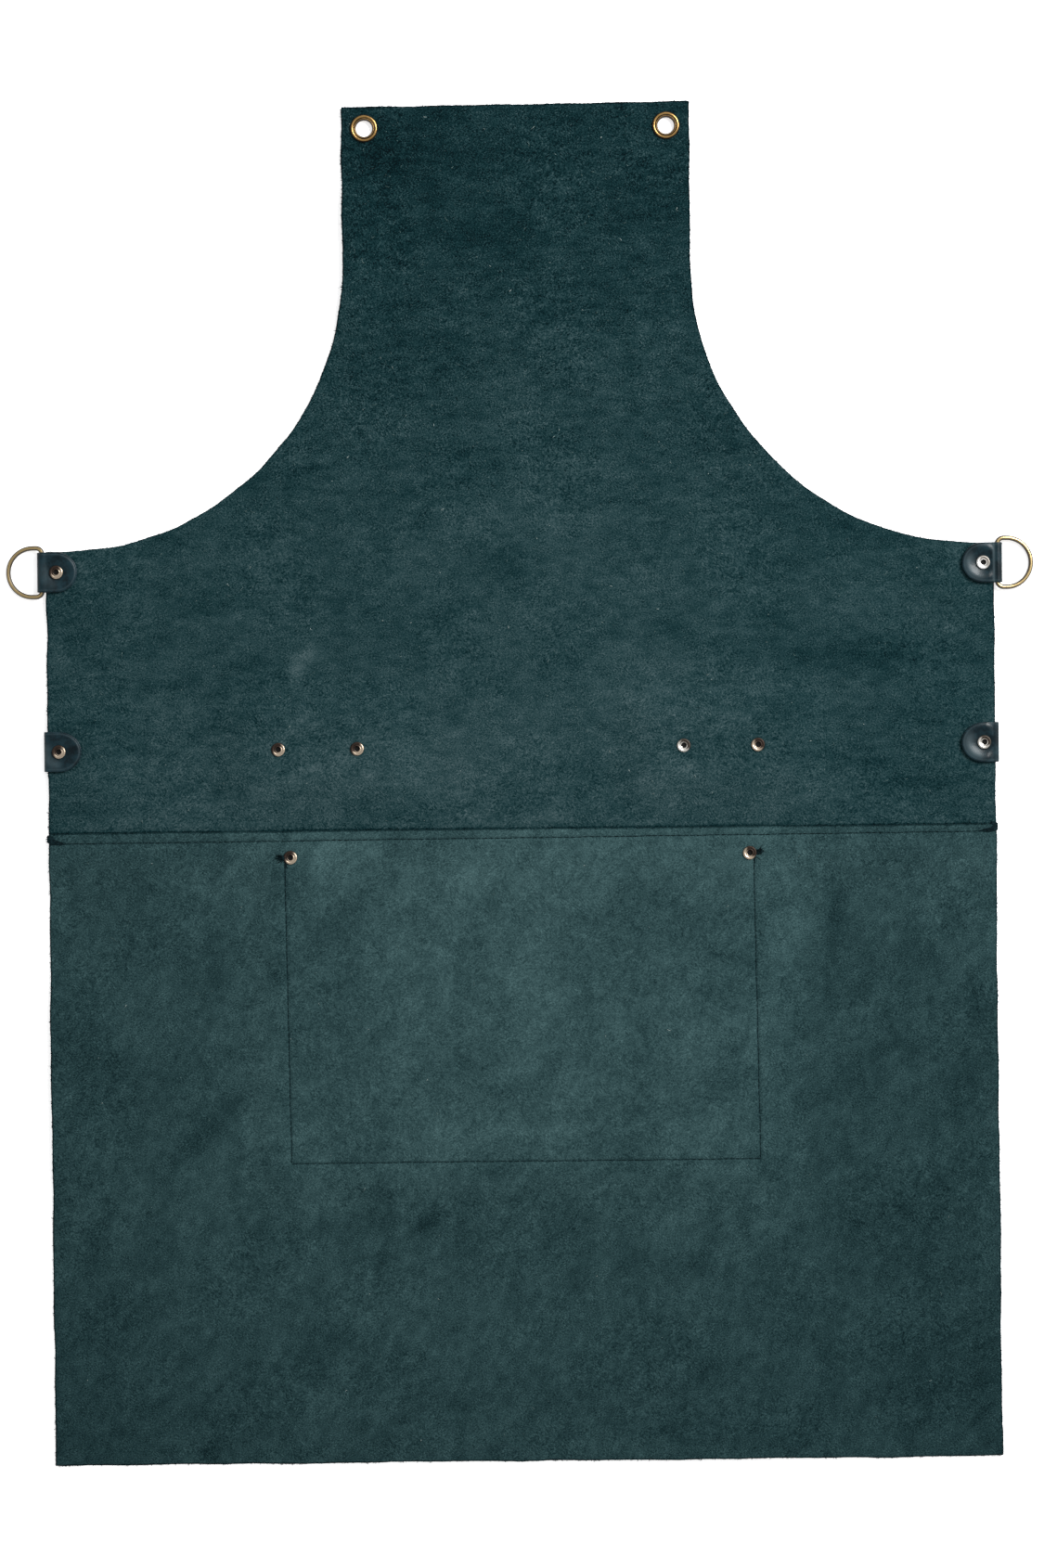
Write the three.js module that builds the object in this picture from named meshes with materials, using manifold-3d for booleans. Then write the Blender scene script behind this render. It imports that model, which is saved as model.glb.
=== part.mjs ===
// A leather grill apron that lies face down on the floor, with its rough side up.
// Millimetres: +X to the right, +Y towards the neck and +Z up, from a point on the floor under its middle.
import * as THREE from 'three';
import { mergeVertices } from 'three/addons/utils/BufferGeometryUtils.js';
import Module from 'manifold-3d';

const wasm = await Module();
wasm.setup();

// The cut of the leather, with heights above the hem
const APRON_LENGTH = 860;
const APRON_WIDTH = 600;
const NECK_WIDTH = 220;
const ARMHOLE_RADIUS = 180;
const SHOULDER_HEIGHT = 579;
const SKIRT_TOP_HEIGHT = 401.5;
const SEAM_OVERLAP = 11.5;
const POCKET_WIDTH = 304;
const POCKET_LENGTH = 202;
const POCKET_TOP_HEIGHT = 388.5;

// The leather, and the clearance between two layers of it
const HIDE_THICKNESS = 1.8;
const STRIP_THICKNESS = 1.4;
const STRIP_WIDTH = 25.4;
const LAYER_GAP = 0.25;

// The places of the fittings, with heights above the hem
const RING_TAB_HEIGHT = SHOULDER_HEIGHT - STRIP_WIDTH / 2;
const WAIST_ROW_HEIGHT = 452.5;
const LEFT_LOOP_X = 129.2;
const LEFT_LOOP_SPACING = 50;
const RIGHT_LOOP_X = 126.3;
const RIGHT_LOOP_SPACING = 47;
const POCKET_MIDDLE_X = -1.7;
const POCKET_RIVET_X = 145.5;
const POCKET_RIVET_HEIGHT = 384;
const GROMMET_INSET = 14.3;

// The D-rings: round wire, a straight bar and a half-round bow
const RING_WIRE_RADIUS = 1.5;
const RING_BOW_RADIUS = 15.5;
const RING_DEPTH = 21.8;
const RING_CORNER_RADIUS = 4;
const RING_BAR_OUTSIDE = 2.5;

// The tabs, whose fold is wider where it holds a ring's bar
const RING_FOLD_RADIUS = 1.9;
const RING_TAB_RIVET_REACH = 9;
const EDGE_TAB_RIVET_REACH = 7;
const RING_TAB_TIP = 13.2;
const EDGE_TAB_TIP = 14.2;

// The rivets: a smooth cap on the front, and a rolled collar round a blind hole on the back
const RIVET_CAP_RADIUS = 4.6;
const RIVET_CAP_FLAT_RADIUS = 3.2;
const RIVET_CAP_EDGE_HEIGHT = 0.6;
const RIVET_CAP_THICKNESS = 1;
const RIVET_POST_RADIUS = 1.9;
const RIVET_SEAT_RADIUS = 2.3;
const RIVET_COLLAR_RADIUS = 4.2;
const RIVET_COLLAR_TOP_RADIUS = 3.6;
const RIVET_COLLAR_HEIGHT = 0.8;
const RIVET_LIP_FOOT_RADIUS = 2.5;
const RIVET_LIP_RADIUS = 2;
const RIVET_LIP_HEIGHT = 1.2;
const RIVET_MOUTH_HEIGHT = 1;
const RIVET_HOLE_RADIUS = 1.5;
const RIVET_HOLE_DEPTH = 2.4;

// The grommets: a flat washer on the front, a barrel and a rolled rim on the back
const GROMMET_RADIUS = 8.4;
const GROMMET_HOLE_RADIUS = 5.2;
const GROMMET_BARREL_RADIUS = 5.9;
const GROMMET_SEAT_RADIUS = 6.3;
const GROMMET_EDGE = 0.3;
const GROMMET_WASHER_THICKNESS = 0.7;
const GROMMET_SHOULDER_HEIGHT = 0.9;
const GROMMET_CREST_RADIUS = 7.1;
const GROMMET_CREST_HEIGHT = 1.35;
const GROMMET_MOUTH_RADIUS = 6.2;
const GROMMET_MOUTH_HEIGHT = 1.15;

// Facets
const CURVE_SEGMENTS = 12;
const FOLD_SEGMENTS = 5;
const ROUND_SIDES = 12;
const GROMMET_SIDES = 18;
const WIRE_SIDES = 10;
const CORNER_STEPS = 3;
const BOW_STEPS = 15;
const CUTTER_HEIGHT = 60;
const LINE_SPACING = 10;
const SLAB_MARGIN = 1;

// Worked-out places
const SIDE_X = APRON_WIDTH / 2;
const HEM_Y = -APRON_LENGTH / 2;
const NECK_Y = APRON_LENGTH / 2;
const SHOULDER_Y = HEM_Y + SHOULDER_HEIGHT;
const SKIRT_TOP_Y = HEM_Y + SKIRT_TOP_HEIGHT;
const BIB_BOTTOM_Y = SKIRT_TOP_Y - SEAM_OVERLAP;
const POCKET_TOP_Y = HEM_Y + POCKET_TOP_HEIGHT;
const POCKET_BOTTOM_Y = POCKET_TOP_Y - POCKET_LENGTH;
const RING_TAB_Y = HEM_Y + RING_TAB_HEIGHT;
const WAIST_ROW_Y = HEM_Y + WAIST_ROW_HEIGHT;
const POCKET_RIVET_Y = HEM_Y + POCKET_RIVET_HEIGHT;
const GROMMET_X = NECK_WIDTH / 2 - GROMMET_INSET;
const GROMMET_Y = NECK_Y - GROMMET_INSET;

// How high the fittings on the front hold the leather off the floor
const CAP_TOP = RIVET_CAP_THICKNESS + LAYER_GAP;
const STRIP_TOP = CAP_TOP + STRIP_THICKNESS + LAYER_GAP;
const WASHER_TOP = GROMMET_WASHER_THICKNESS + LAYER_GAP;
const PANEL_TOP = HIDE_THICKNESS + LAYER_GAP;
const SIDE_MIDDLE_Z = STRIP_TOP + HIDE_THICKNESS / 2;

const SIDES = [
  { name: 'left', sign: -1, loopX: LEFT_LOOP_X, loopSpacing: LEFT_LOOP_SPACING },
  { name: 'right', sign: 1, loopX: RIGHT_LOOP_X, loopSpacing: RIGHT_LOOP_SPACING },
];

// The same row of a table on both sides of the apron
function onBothSides(row) {
  return SIDES.map((side) => ({ ...row, x: side.sign * row.x }));
}

// What lifts the bib: a flat stretch with a ramp around it over each fitting, and some lifted edges
const LOOP_REST = { y: WAIST_ROW_Y, halfX: 40, halfY: 14, lift: STRIP_TOP, reach: 36 };
const BIB_RESTS = [
  ...onBothSides({ x: 288, y: RING_TAB_Y, halfX: 14, halfY: 14, lift: STRIP_TOP, reach: 40 }),
  ...onBothSides({ x: 288, y: WAIST_ROW_Y, halfX: 14, halfY: 14, lift: STRIP_TOP, reach: 36 }),
  ...SIDES.map(({ sign, loopX }) => ({ ...LOOP_REST, x: sign * loopX })),
  ...onBothSides({ x: GROMMET_X, y: GROMMET_Y, halfX: 10, halfY: 10, lift: WASHER_TOP, reach: 30 }),
  { x: -112, y: 335, halfX: 2, halfY: 25, lift: 4, reach: 40 },
  { x: 150, y: 222, halfX: 3, halfY: 3, lift: 2.5, reach: 45 },
];

// What lifts the pocket: the caps of its two rivets
const POCKET_RESTS = SIDES.map(({ sign }) => ({
  x: POCKET_MIDDLE_X + sign * POCKET_RIVET_X,
  y: POCKET_RIVET_Y,
  halfX: 8,
  halfY: 8,
  lift: CAP_TOP,
  reach: 20,
}));

// What lifts the skirt: the bib's lower edge, the pocket, and lifted edges
const SKIRT_RESTS = [
  { x: 0, y: (SKIRT_TOP_Y + POCKET_TOP_Y) / 2, halfX: SIDE_X, halfY: 8, lift: PANEL_TOP, reach: 30 },
  {
    x: POCKET_MIDDLE_X,
    y: (POCKET_TOP_Y + POCKET_BOTTOM_Y) / 2,
    halfX: POCKET_WIDTH / 2 + 2,
    halfY: POCKET_LENGTH / 2 + 2,
    lift: PANEL_TOP,
    reach: 30,
  },
  { x: -300, y: -190, halfX: 2, halfY: 40, lift: 3, reach: 50 },
  { x: 300, y: -300, halfX: 2, halfY: 30, lift: 2.5, reach: 50 },
  { x: 120, y: -430, halfX: 40, halfY: 2, lift: 2, reach: 45 },
];

// The height of the leather's underside over a table of rests
function liftAt(rests, x, y) {
  const lifts = rests.map((rest) => {
    const outX = Math.max(Math.abs(x - rest.x) - rest.halfX, 0);
    const outY = Math.max(Math.abs(y - rest.y) - rest.halfY, 0);
    const share = Math.max(1 - Math.hypot(outX, outY) / rest.reach, 0);
    return rest.lift * share * share * (3 - 2 * share);
  });
  return Math.max(0, ...lifts);
}

// Grid lines along one axis: each flat stretch's two edges, and the ends of its ramp where no line is near
function gridLines(rests, axis, half, low, high) {
  const inside = (line) => line > low && line < high;
  const edges = rests.flatMap((rest) => [rest[axis] - rest[half], rest[axis] + rest[half]]);
  const ends = rests.flatMap((rest) => [
    rest[axis] - rest[half] - rest.reach,
    rest[axis] + rest[half] + rest.reach,
  ]);
  const lines = [low, high, ...new Set(edges.filter(inside))];
  for (const end of ends.filter(inside)) {
    if (lines.every((line) => Math.abs(line - end) > LINE_SPACING)) {
      lines.push(end);
    }
  }
  return lines.sort((a, b) => a - b);
}

// A slab of even thickness over a grid, whose underside follows a height function
function reliefSlab(xs, ys, thickness, heightAt) {
  const across = xs.length;
  const layer = across * ys.length;
  const points = [0, thickness].flatMap((rise) =>
    ys.flatMap((y) => xs.flatMap((x) => [x, y, heightAt(x, y) + rise])),
  );
  const faces = [];
  const wall = (a, b) => faces.push(a, b, b + layer, a, b + layer, a + layer);
  for (let j = 0; j < ys.length - 1; j += 1) {
    for (let i = 0; i < across - 1; i += 1) {
      const a = j * across + i;
      const [b, c, d] = [a + 1, a + across + 1, a + across];
      faces.push(a, c, b, a, d, c);
      faces.push(a + layer, b + layer, c + layer, a + layer, c + layer, d + layer);
    }
    wall((j + 1) * across, j * across);
    wall(j * across + across - 1, (j + 1) * across + across - 1);
  }
  for (let i = 0; i < across - 1; i += 1) {
    wall(i, i + 1);
    wall(layer - across + i + 1, layer - across + i);
  }
  const slab = new THREE.BufferGeometry();
  slab.setAttribute('position', new THREE.Float32BufferAttribute(points, 3));
  slab.setIndex(faces);
  return slab;
}

// A closed geometry as a solid that can be cut
function toSolid(geometry) {
  const bare = geometry.clone();
  bare.deleteAttribute('normal');
  bare.deleteAttribute('uv');
  const merged = mergeVertices(bare);
  const mesh = new wasm.Mesh({
    numProp: 3,
    vertProperties: new Float32Array(merged.attributes.position.array),
    triVerts: new Uint32Array(merged.index.array),
  });
  return new wasm.Manifold(mesh);
}

// A cut solid as a geometry again
function toGeometry(solid) {
  const mesh = solid.getMesh();
  const geometry = new THREE.BufferGeometry();
  geometry.setAttribute('position', new THREE.BufferAttribute(mesh.vertProperties, 3));
  geometry.setIndex(new THREE.BufferAttribute(mesh.triVerts, 1));
  geometry.computeVertexNormals();
  return geometry;
}

// A tall upright prism with a flat outline, that trims a panel or a strip to its cut
function trimmer(outline) {
  const prism = new THREE.ExtrudeGeometry(outline, {
    depth: CUTTER_HEIGHT,
    bevelEnabled: false,
    curveSegments: CURVE_SEGMENTS,
  });
  return toSolid(prism.translate(0, 0, -CUTTER_HEIGHT / 2));
}

// A tall upright round cutter for a rivet's or a grommet's hole
function punch(x, y, radius, sides) {
  const cutter = new THREE.CylinderGeometry(radius, radius, CUTTER_HEIGHT, sides);
  return toSolid(cutter.rotateX(Math.PI / 2).translate(x, y, 0));
}

function punchAll(solid, holes) {
  return holes.reduce((rest, hole) => rest.subtract(punch(hole.x, hole.y, hole.radius, hole.sides)), solid);
}

function rivetHole(x, y) {
  return { x, y, radius: RIVET_SEAT_RADIUS, sides: ROUND_SIDES };
}

function rectangle(low, high) {
  const outline = new THREE.Shape();
  outline.moveTo(low.x, low.y);
  outline.lineTo(high.x, low.y);
  outline.lineTo(high.x, high.y);
  outline.lineTo(low.x, high.y);
  outline.closePath();
  return outline;
}

// The bib: straight sides up to the shoulders, a quarter-round armhole on each side, and a straight neck
function bibOutline() {
  const neckX = NECK_WIDTH / 2;
  const armX = neckX + ARMHOLE_RADIUS;
  const armY = SHOULDER_Y + ARMHOLE_RADIUS;
  const outline = new THREE.Shape();
  outline.moveTo(-SIDE_X, BIB_BOTTOM_Y);
  outline.lineTo(SIDE_X, BIB_BOTTOM_Y);
  outline.lineTo(SIDE_X, SHOULDER_Y);
  outline.lineTo(armX, SHOULDER_Y);
  outline.absarc(armX, armY, ARMHOLE_RADIUS, -Math.PI / 2, -Math.PI, true);
  outline.lineTo(neckX, NECK_Y);
  outline.lineTo(-neckX, NECK_Y);
  outline.lineTo(-neckX, armY);
  outline.absarc(-armX, armY, ARMHOLE_RADIUS, 0, -Math.PI / 2, true);
  outline.lineTo(-SIDE_X, SHOULDER_Y);
  outline.closePath();
  return outline;
}

const RING_TAB_RIVET_X = SIDE_X + RING_BAR_OUTSIDE - RING_TAB_RIVET_REACH;
const EDGE_TAB_RIVET_X = SIDE_X - EDGE_TAB_RIVET_REACH;

function bibPanel() {
  const xs = gridLines(BIB_RESTS, 'x', 'halfX', -SIDE_X - SLAB_MARGIN, SIDE_X + SLAB_MARGIN);
  const ys = gridLines(BIB_RESTS, 'y', 'halfY', BIB_BOTTOM_Y - SLAB_MARGIN, NECK_Y + SLAB_MARGIN);
  const slab = reliefSlab(xs, ys, HIDE_THICKNESS, (x, y) => liftAt(BIB_RESTS, x, y));
  const holes = SIDES.flatMap(({ sign, loopX, loopSpacing }) => [
    rivetHole(sign * RING_TAB_RIVET_X, RING_TAB_Y),
    rivetHole(sign * EDGE_TAB_RIVET_X, WAIST_ROW_Y),
    rivetHole(sign * (loopX - loopSpacing / 2), WAIST_ROW_Y),
    rivetHole(sign * (loopX + loopSpacing / 2), WAIST_ROW_Y),
    { x: sign * GROMMET_X, y: GROMMET_Y, radius: GROMMET_SEAT_RADIUS, sides: GROMMET_SIDES },
  ]);
  return toGeometry(punchAll(toSolid(slab).intersect(trimmer(bibOutline())), holes));
}

// The skirt and the pocket share their grid, so that one lies evenly on the other
const SKIRT_GRID_RESTS = [...SKIRT_RESTS, ...POCKET_RESTS];
const SKIRT_XS = gridLines(SKIRT_GRID_RESTS, 'x', 'halfX', -SIDE_X - SLAB_MARGIN, SIDE_X + SLAB_MARGIN);
const SKIRT_YS = gridLines(SKIRT_GRID_RESTS, 'y', 'halfY', HEM_Y - SLAB_MARGIN, SKIRT_TOP_Y + SLAB_MARGIN);
const POCKET_RIVET_HOLES = POCKET_RESTS.map(({ x, y }) => rivetHole(x, y));

function skirtPanel() {
  const heightAt = (x, y) => liftAt(SKIRT_RESTS, x, y) + liftAt(POCKET_RESTS, x, y);
  const slab = reliefSlab(SKIRT_XS, SKIRT_YS, HIDE_THICKNESS, heightAt);
  const outline = rectangle({ x: -SIDE_X, y: HEM_Y }, { x: SIDE_X, y: SKIRT_TOP_Y });
  return toGeometry(punchAll(toSolid(slab).intersect(trimmer(outline)), POCKET_RIVET_HOLES));
}

function frontPocket() {
  const slab = reliefSlab(SKIRT_XS, SKIRT_YS, HIDE_THICKNESS, (x, y) => liftAt(POCKET_RESTS, x, y));
  const outline = rectangle(
    { x: POCKET_MIDDLE_X - POCKET_WIDTH / 2, y: POCKET_BOTTOM_Y },
    { x: POCKET_MIDDLE_X + POCKET_WIDTH / 2, y: POCKET_TOP_Y },
  );
  return toGeometry(punchAll(toSolid(slab).intersect(trimmer(outline)), POCKET_RIVET_HOLES));
}

// A tool loop: a plain strap with round ends, riveted at both ends
function toolLoop(rivetSpacing) {
  const half = rivetSpacing / 2;
  const outline = new THREE.Shape();
  outline.absarc(half, 0, STRIP_WIDTH / 2, -Math.PI / 2, Math.PI / 2, false);
  outline.absarc(-half, 0, STRIP_WIDTH / 2, Math.PI / 2, (3 * Math.PI) / 2, false);
  const strap = new THREE.ExtrudeGeometry(outline, {
    depth: STRIP_THICKNESS,
    bevelEnabled: false,
    curveSegments: CURVE_SEGMENTS,
  });
  return toGeometry(punchAll(toSolid(strap), [rivetHole(-half, 0), rivetHole(half, 0)]));
}

// A folded tab around a fold axis along Y: a fold of a given inner radius at -X, and two flaps that run
// to +X and end in half an ellipse around the rivet
function foldedTab(foldRadius, rivetReach, tip) {
  const inner = HIDE_THICKNESS / 2 + LAYER_GAP;
  const outer = inner + STRIP_THICKNESS;
  const outerRadius = foldRadius + STRIP_THICKNESS;
  const end = rivetReach + STRIP_WIDTH;
  const outerTurn = Math.asin(Math.min(outer / outerRadius, 1));
  const innerTurn = Math.asin(Math.min(inner / foldRadius, 1));
  const profile = new THREE.Shape();
  profile.moveTo(end, outer);
  profile.absarc(0, 0, outerRadius, outerTurn, 2 * Math.PI - outerTurn, false);
  profile.lineTo(end, -outer);
  profile.lineTo(end, -inner);
  profile.absarc(0, 0, foldRadius, 2 * Math.PI - innerTurn, innerTurn, true);
  profile.lineTo(end, inner);
  profile.closePath();
  const strip = new THREE.ExtrudeGeometry(profile, {
    depth: STRIP_WIDTH,
    bevelEnabled: false,
    curveSegments: FOLD_SEGMENTS,
  });
  strip.translate(0, 0, -STRIP_WIDTH / 2).rotateX(Math.PI / 2);
  const cut = new THREE.Shape();
  cut.moveTo(-STRIP_WIDTH, -STRIP_WIDTH / 2);
  cut.absellipse(rivetReach, 0, tip, STRIP_WIDTH / 2, -Math.PI / 2, Math.PI / 2, false, 0);
  cut.lineTo(-STRIP_WIDTH, STRIP_WIDTH / 2);
  cut.closePath();
  return toGeometry(punchAll(toSolid(strip).intersect(trimmer(cut)), [rivetHole(rivetReach, 0)]));
}

// A closed loop of straight steps, for a wire to follow
class WireLoop extends THREE.Curve {
  constructor(points) {
    super();
    this.points = points;
  }

  getPoint(t, target = new THREE.Vector3()) {
    const count = this.points.length;
    const place = t * count;
    const step = Math.min(Math.floor(place), count - 1);
    return target.lerpVectors(this.points[step], this.points[(step + 1) % count], place - step);
  }

  getUtoTmapping(u) {
    return u;
  }
}

// Points along an arc about a centre, without its first point
function arcPoints(x, y, radius, start, end, steps) {
  return Array.from({ length: steps }, (_, step) => {
    const angle = start + ((end - start) * (step + 1)) / steps;
    return new THREE.Vector3(x + radius * Math.cos(angle), y + radius * Math.sin(angle), 0);
  });
}

// A D-ring around its bar's axis, with the bar along Y and the bow at -X
function dRing() {
  const quarter = Math.PI / 2;
  const corner = RING_CORNER_RADIUS;
  const barEnd = RING_BOW_RADIUS - corner;
  const bowX = RING_BOW_RADIUS - RING_DEPTH;
  const points = [
    new THREE.Vector3(0, 0, 0),
    new THREE.Vector3(0, barEnd, 0),
    ...arcPoints(-corner, barEnd, corner, 0, quarter, CORNER_STEPS),
    new THREE.Vector3(bowX, RING_BOW_RADIUS, 0),
    ...arcPoints(bowX, 0, RING_BOW_RADIUS, quarter, 3 * quarter, BOW_STEPS),
    new THREE.Vector3(-corner, -RING_BOW_RADIUS, 0),
    ...arcPoints(-corner, -barEnd, corner, -quarter, 0, CORNER_STEPS),
  ];
  return new THREE.TubeGeometry(new WireLoop(points), points.length, RING_WIRE_RADIUS, WIRE_SIDES, true);
}

// A turned piece about +Z, from a profile of radius and height
function turned(profile, sides) {
  const points = profile.map(([radius, height]) => new THREE.Vector2(radius, height));
  return toGeometry(toSolid(new THREE.LatheGeometry(points, sides).rotateX(Math.PI / 2)));
}

// A rivet through layers of a given thickness, standing on its cap
function rivet(layers) {
  const seat = CAP_TOP + layers + LAYER_GAP;
  const mouth = seat + RIVET_MOUTH_HEIGHT;
  const profile = [
    [0, 0],
    [RIVET_CAP_FLAT_RADIUS, 0],
    [RIVET_CAP_RADIUS, RIVET_CAP_EDGE_HEIGHT],
    [RIVET_CAP_RADIUS, RIVET_CAP_THICKNESS],
    [RIVET_POST_RADIUS, RIVET_CAP_THICKNESS],
    [RIVET_POST_RADIUS, seat],
    [RIVET_COLLAR_RADIUS, seat],
    [RIVET_COLLAR_TOP_RADIUS, seat + RIVET_COLLAR_HEIGHT],
    [RIVET_LIP_FOOT_RADIUS, seat + RIVET_COLLAR_HEIGHT],
    [RIVET_LIP_RADIUS, seat + RIVET_LIP_HEIGHT],
    [RIVET_HOLE_RADIUS, mouth],
    [RIVET_HOLE_RADIUS, mouth - RIVET_HOLE_DEPTH],
    [0, mouth - RIVET_HOLE_DEPTH],
  ];
  return turned(profile, ROUND_SIDES);
}

// A grommet through the bib, standing on its washer
function grommet() {
  const hole = GROMMET_HOLE_RADIUS;
  const seat = WASHER_TOP + HIDE_THICKNESS + LAYER_GAP;
  const profile = [
    [hole + GROMMET_EDGE, 0],
    [GROMMET_RADIUS - GROMMET_EDGE, 0],
    [GROMMET_RADIUS, GROMMET_WASHER_THICKNESS],
    [GROMMET_BARREL_RADIUS, GROMMET_WASHER_THICKNESS],
    [GROMMET_BARREL_RADIUS, seat],
    [GROMMET_RADIUS, seat],
    [GROMMET_RADIUS - GROMMET_EDGE, seat + GROMMET_SHOULDER_HEIGHT],
    [GROMMET_CREST_RADIUS, seat + GROMMET_CREST_HEIGHT],
    [GROMMET_MOUTH_RADIUS, seat + GROMMET_MOUTH_HEIGHT],
    [hole, seat],
    [hole, GROMMET_EDGE],
    [hole + GROMMET_EDGE, 0],
  ];
  return turned(profile, GROMMET_SIDES);
}

// The finishes
const FINISHES = {
  suede: { color: 0x244042, roughness: 0.95, metalness: 0 },
  strip: { color: 0x222c34, roughness: 0.45, metalness: 0 },
  brass: { color: 0x8f7443, roughness: 0.3, metalness: 1 },
  rivetMetal: { color: 0x8d776b, roughness: 0.35, metalness: 1 },
};

function piece(name, geometry, finish) {
  const mesh = new THREE.Mesh(geometry, new THREE.MeshStandardMaterial(FINISHES[finish]));
  mesh.name = name;
  return mesh;
}

const apron = new THREE.Group();
apron.add(piece('bib_panel', bibPanel(), 'suede'));
apron.add(piece('skirt_panel', skirtPanel(), 'suede'));
apron.add(piece('front_pocket', frontPocket(), 'suede'));

// The fittings of each side: a group that faces the middle of the apron holds each tab
const RING_DROP = Math.asin((SIDE_MIDDLE_Z - RING_WIRE_RADIUS) / RING_DEPTH);
const TAB_LAYERS = HIDE_THICKNESS + 2 * STRIP_THICKNESS + 2 * LAYER_GAP;
const LOOP_LAYERS = HIDE_THICKNESS + STRIP_THICKNESS + LAYER_GAP;
const POCKET_LAYERS = 2 * HIDE_THICKNESS + LAYER_GAP;

for (const { name, sign, loopX, loopSpacing } of SIDES) {
  const ringSide = new THREE.Group();
  ringSide.position.set(sign * (SIDE_X + RING_BAR_OUTSIDE), RING_TAB_Y, SIDE_MIDDLE_Z);
  ringSide.rotation.z = sign > 0 ? Math.PI : 0;
  const ring = piece(`d_ring_${name}`, dRing(), 'brass');
  ring.rotation.y = -RING_DROP;
  const ringTab = foldedTab(RING_FOLD_RADIUS, RING_TAB_RIVET_REACH, RING_TAB_TIP);
  ringSide.add(piece(`ring_tab_${name}`, ringTab, 'strip'), ring);

  const edgeSide = new THREE.Group();
  edgeSide.position.set(sign * SIDE_X, WAIST_ROW_Y, SIDE_MIDDLE_Z);
  edgeSide.rotation.z = ringSide.rotation.z;
  const edgeFold = HIDE_THICKNESS / 2 + LAYER_GAP;
  edgeSide.add(piece(`edge_tab_${name}`, foldedTab(edgeFold, EDGE_TAB_RIVET_REACH, EDGE_TAB_TIP), 'strip'));

  const loop = piece(`tool_loop_${name}`, toolLoop(loopSpacing), 'strip');
  loop.position.set(sign * loopX, WAIST_ROW_Y, CAP_TOP);

  const eyelet = piece(`grommet_${name}`, grommet(), 'brass');
  eyelet.position.set(sign * GROMMET_X, GROMMET_Y, 0);

  const rivets = [
    { use: 'ring_tab', x: RING_TAB_RIVET_X, y: RING_TAB_Y, layers: TAB_LAYERS },
    { use: 'edge_tab', x: EDGE_TAB_RIVET_X, y: WAIST_ROW_Y, layers: TAB_LAYERS },
    { use: 'loop_inner', x: loopX - loopSpacing / 2, y: WAIST_ROW_Y, layers: LOOP_LAYERS },
    { use: 'loop_outer', x: loopX + loopSpacing / 2, y: WAIST_ROW_Y, layers: LOOP_LAYERS },
    { use: 'pocket', x: POCKET_RIVET_X + sign * POCKET_MIDDLE_X, y: POCKET_RIVET_Y, layers: POCKET_LAYERS },
  ].map((row) => {
    const mesh = piece(`rivet_${row.use}_${name}`, rivet(row.layers), 'rivetMetal');
    mesh.position.set(sign * row.x, row.y, 0);
    return mesh;
  });

  apron.add(ringSide, edgeSide, loop, eyelet, ...rivets);
}

export default apron;
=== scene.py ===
# %% [markdown]
# # A leather grill apron
# The apron lies face down on a white floor, so its rough suede side is up and its smooth side is hidden.
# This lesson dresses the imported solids: each piece of the apron is worked out again as a fine surface,
# gets its finish from shader nodes, and takes the place of its solid. Lengths are millimetres until a
# mesh is made.

import math

import bpy
import numpy as np
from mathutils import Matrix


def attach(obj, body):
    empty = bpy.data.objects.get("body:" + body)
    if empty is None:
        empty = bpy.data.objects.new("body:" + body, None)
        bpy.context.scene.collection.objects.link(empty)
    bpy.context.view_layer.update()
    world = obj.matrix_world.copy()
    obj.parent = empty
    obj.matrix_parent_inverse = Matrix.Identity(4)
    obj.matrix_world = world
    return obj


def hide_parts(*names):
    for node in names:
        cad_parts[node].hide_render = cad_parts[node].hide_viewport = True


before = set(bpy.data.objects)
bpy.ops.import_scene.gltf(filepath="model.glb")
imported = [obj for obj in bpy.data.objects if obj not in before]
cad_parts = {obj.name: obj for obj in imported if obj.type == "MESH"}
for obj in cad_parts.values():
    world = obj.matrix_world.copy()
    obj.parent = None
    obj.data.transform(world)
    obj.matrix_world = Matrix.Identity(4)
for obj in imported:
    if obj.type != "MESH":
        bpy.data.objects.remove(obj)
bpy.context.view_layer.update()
MM = 0.001

# %% [markdown]
# ## The camera
# The picture was taken from straight above. A long lens far away keeps the sides of the apron parallel,
# and the camera is turned by the small angle at which the apron lay in the picture.

# %% Camera
PICTURE_HEIGHT = 1690
MM_PER_PIXEL = 0.5882
PICTURE_TURN = math.radians(0.62)
PICTURE_MIDDLE_Y = -0.95
LEATHER_LEVEL = 3
LENS = 100
SENSOR = 36

camera = bpy.data.objects.new("camera", bpy.data.cameras.new("camera"))
camera.data.lens = LENS
camera.data.sensor_width = SENSOR
camera_height = LEATHER_LEVEL + PICTURE_HEIGHT * MM_PER_PIXEL * LENS / SENSOR
camera.location = (0, PICTURE_MIDDLE_Y * MM, camera_height * MM)
camera.rotation_euler = (0, 0, -PICTURE_TURN)
bpy.context.scene.collection.objects.link(camera)
bpy.context.scene.camera = camera
print("camera height:", round(camera_height), "mm")

# %% [markdown]
# ## The light
# A studio's light is soft and strong enough to wash the floor out to white, so that only thin, faint
# shadows are left beside a lifted edge. One wide lamp stands to the upper right. The sky fills in the
# rest, and is dimmer overhead than at the walls, so that flat waxed leather stays dark and only its bent
# rims shine.

# %% Lamp and sky
LAMP_PLACE = (1.9, 1.5, 2.3)
LAMP_SIZE = 1.5
LAMP_POWER = 190
SKY_OVERHEAD = 0.42
SKY_HORIZON = 1.2

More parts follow.
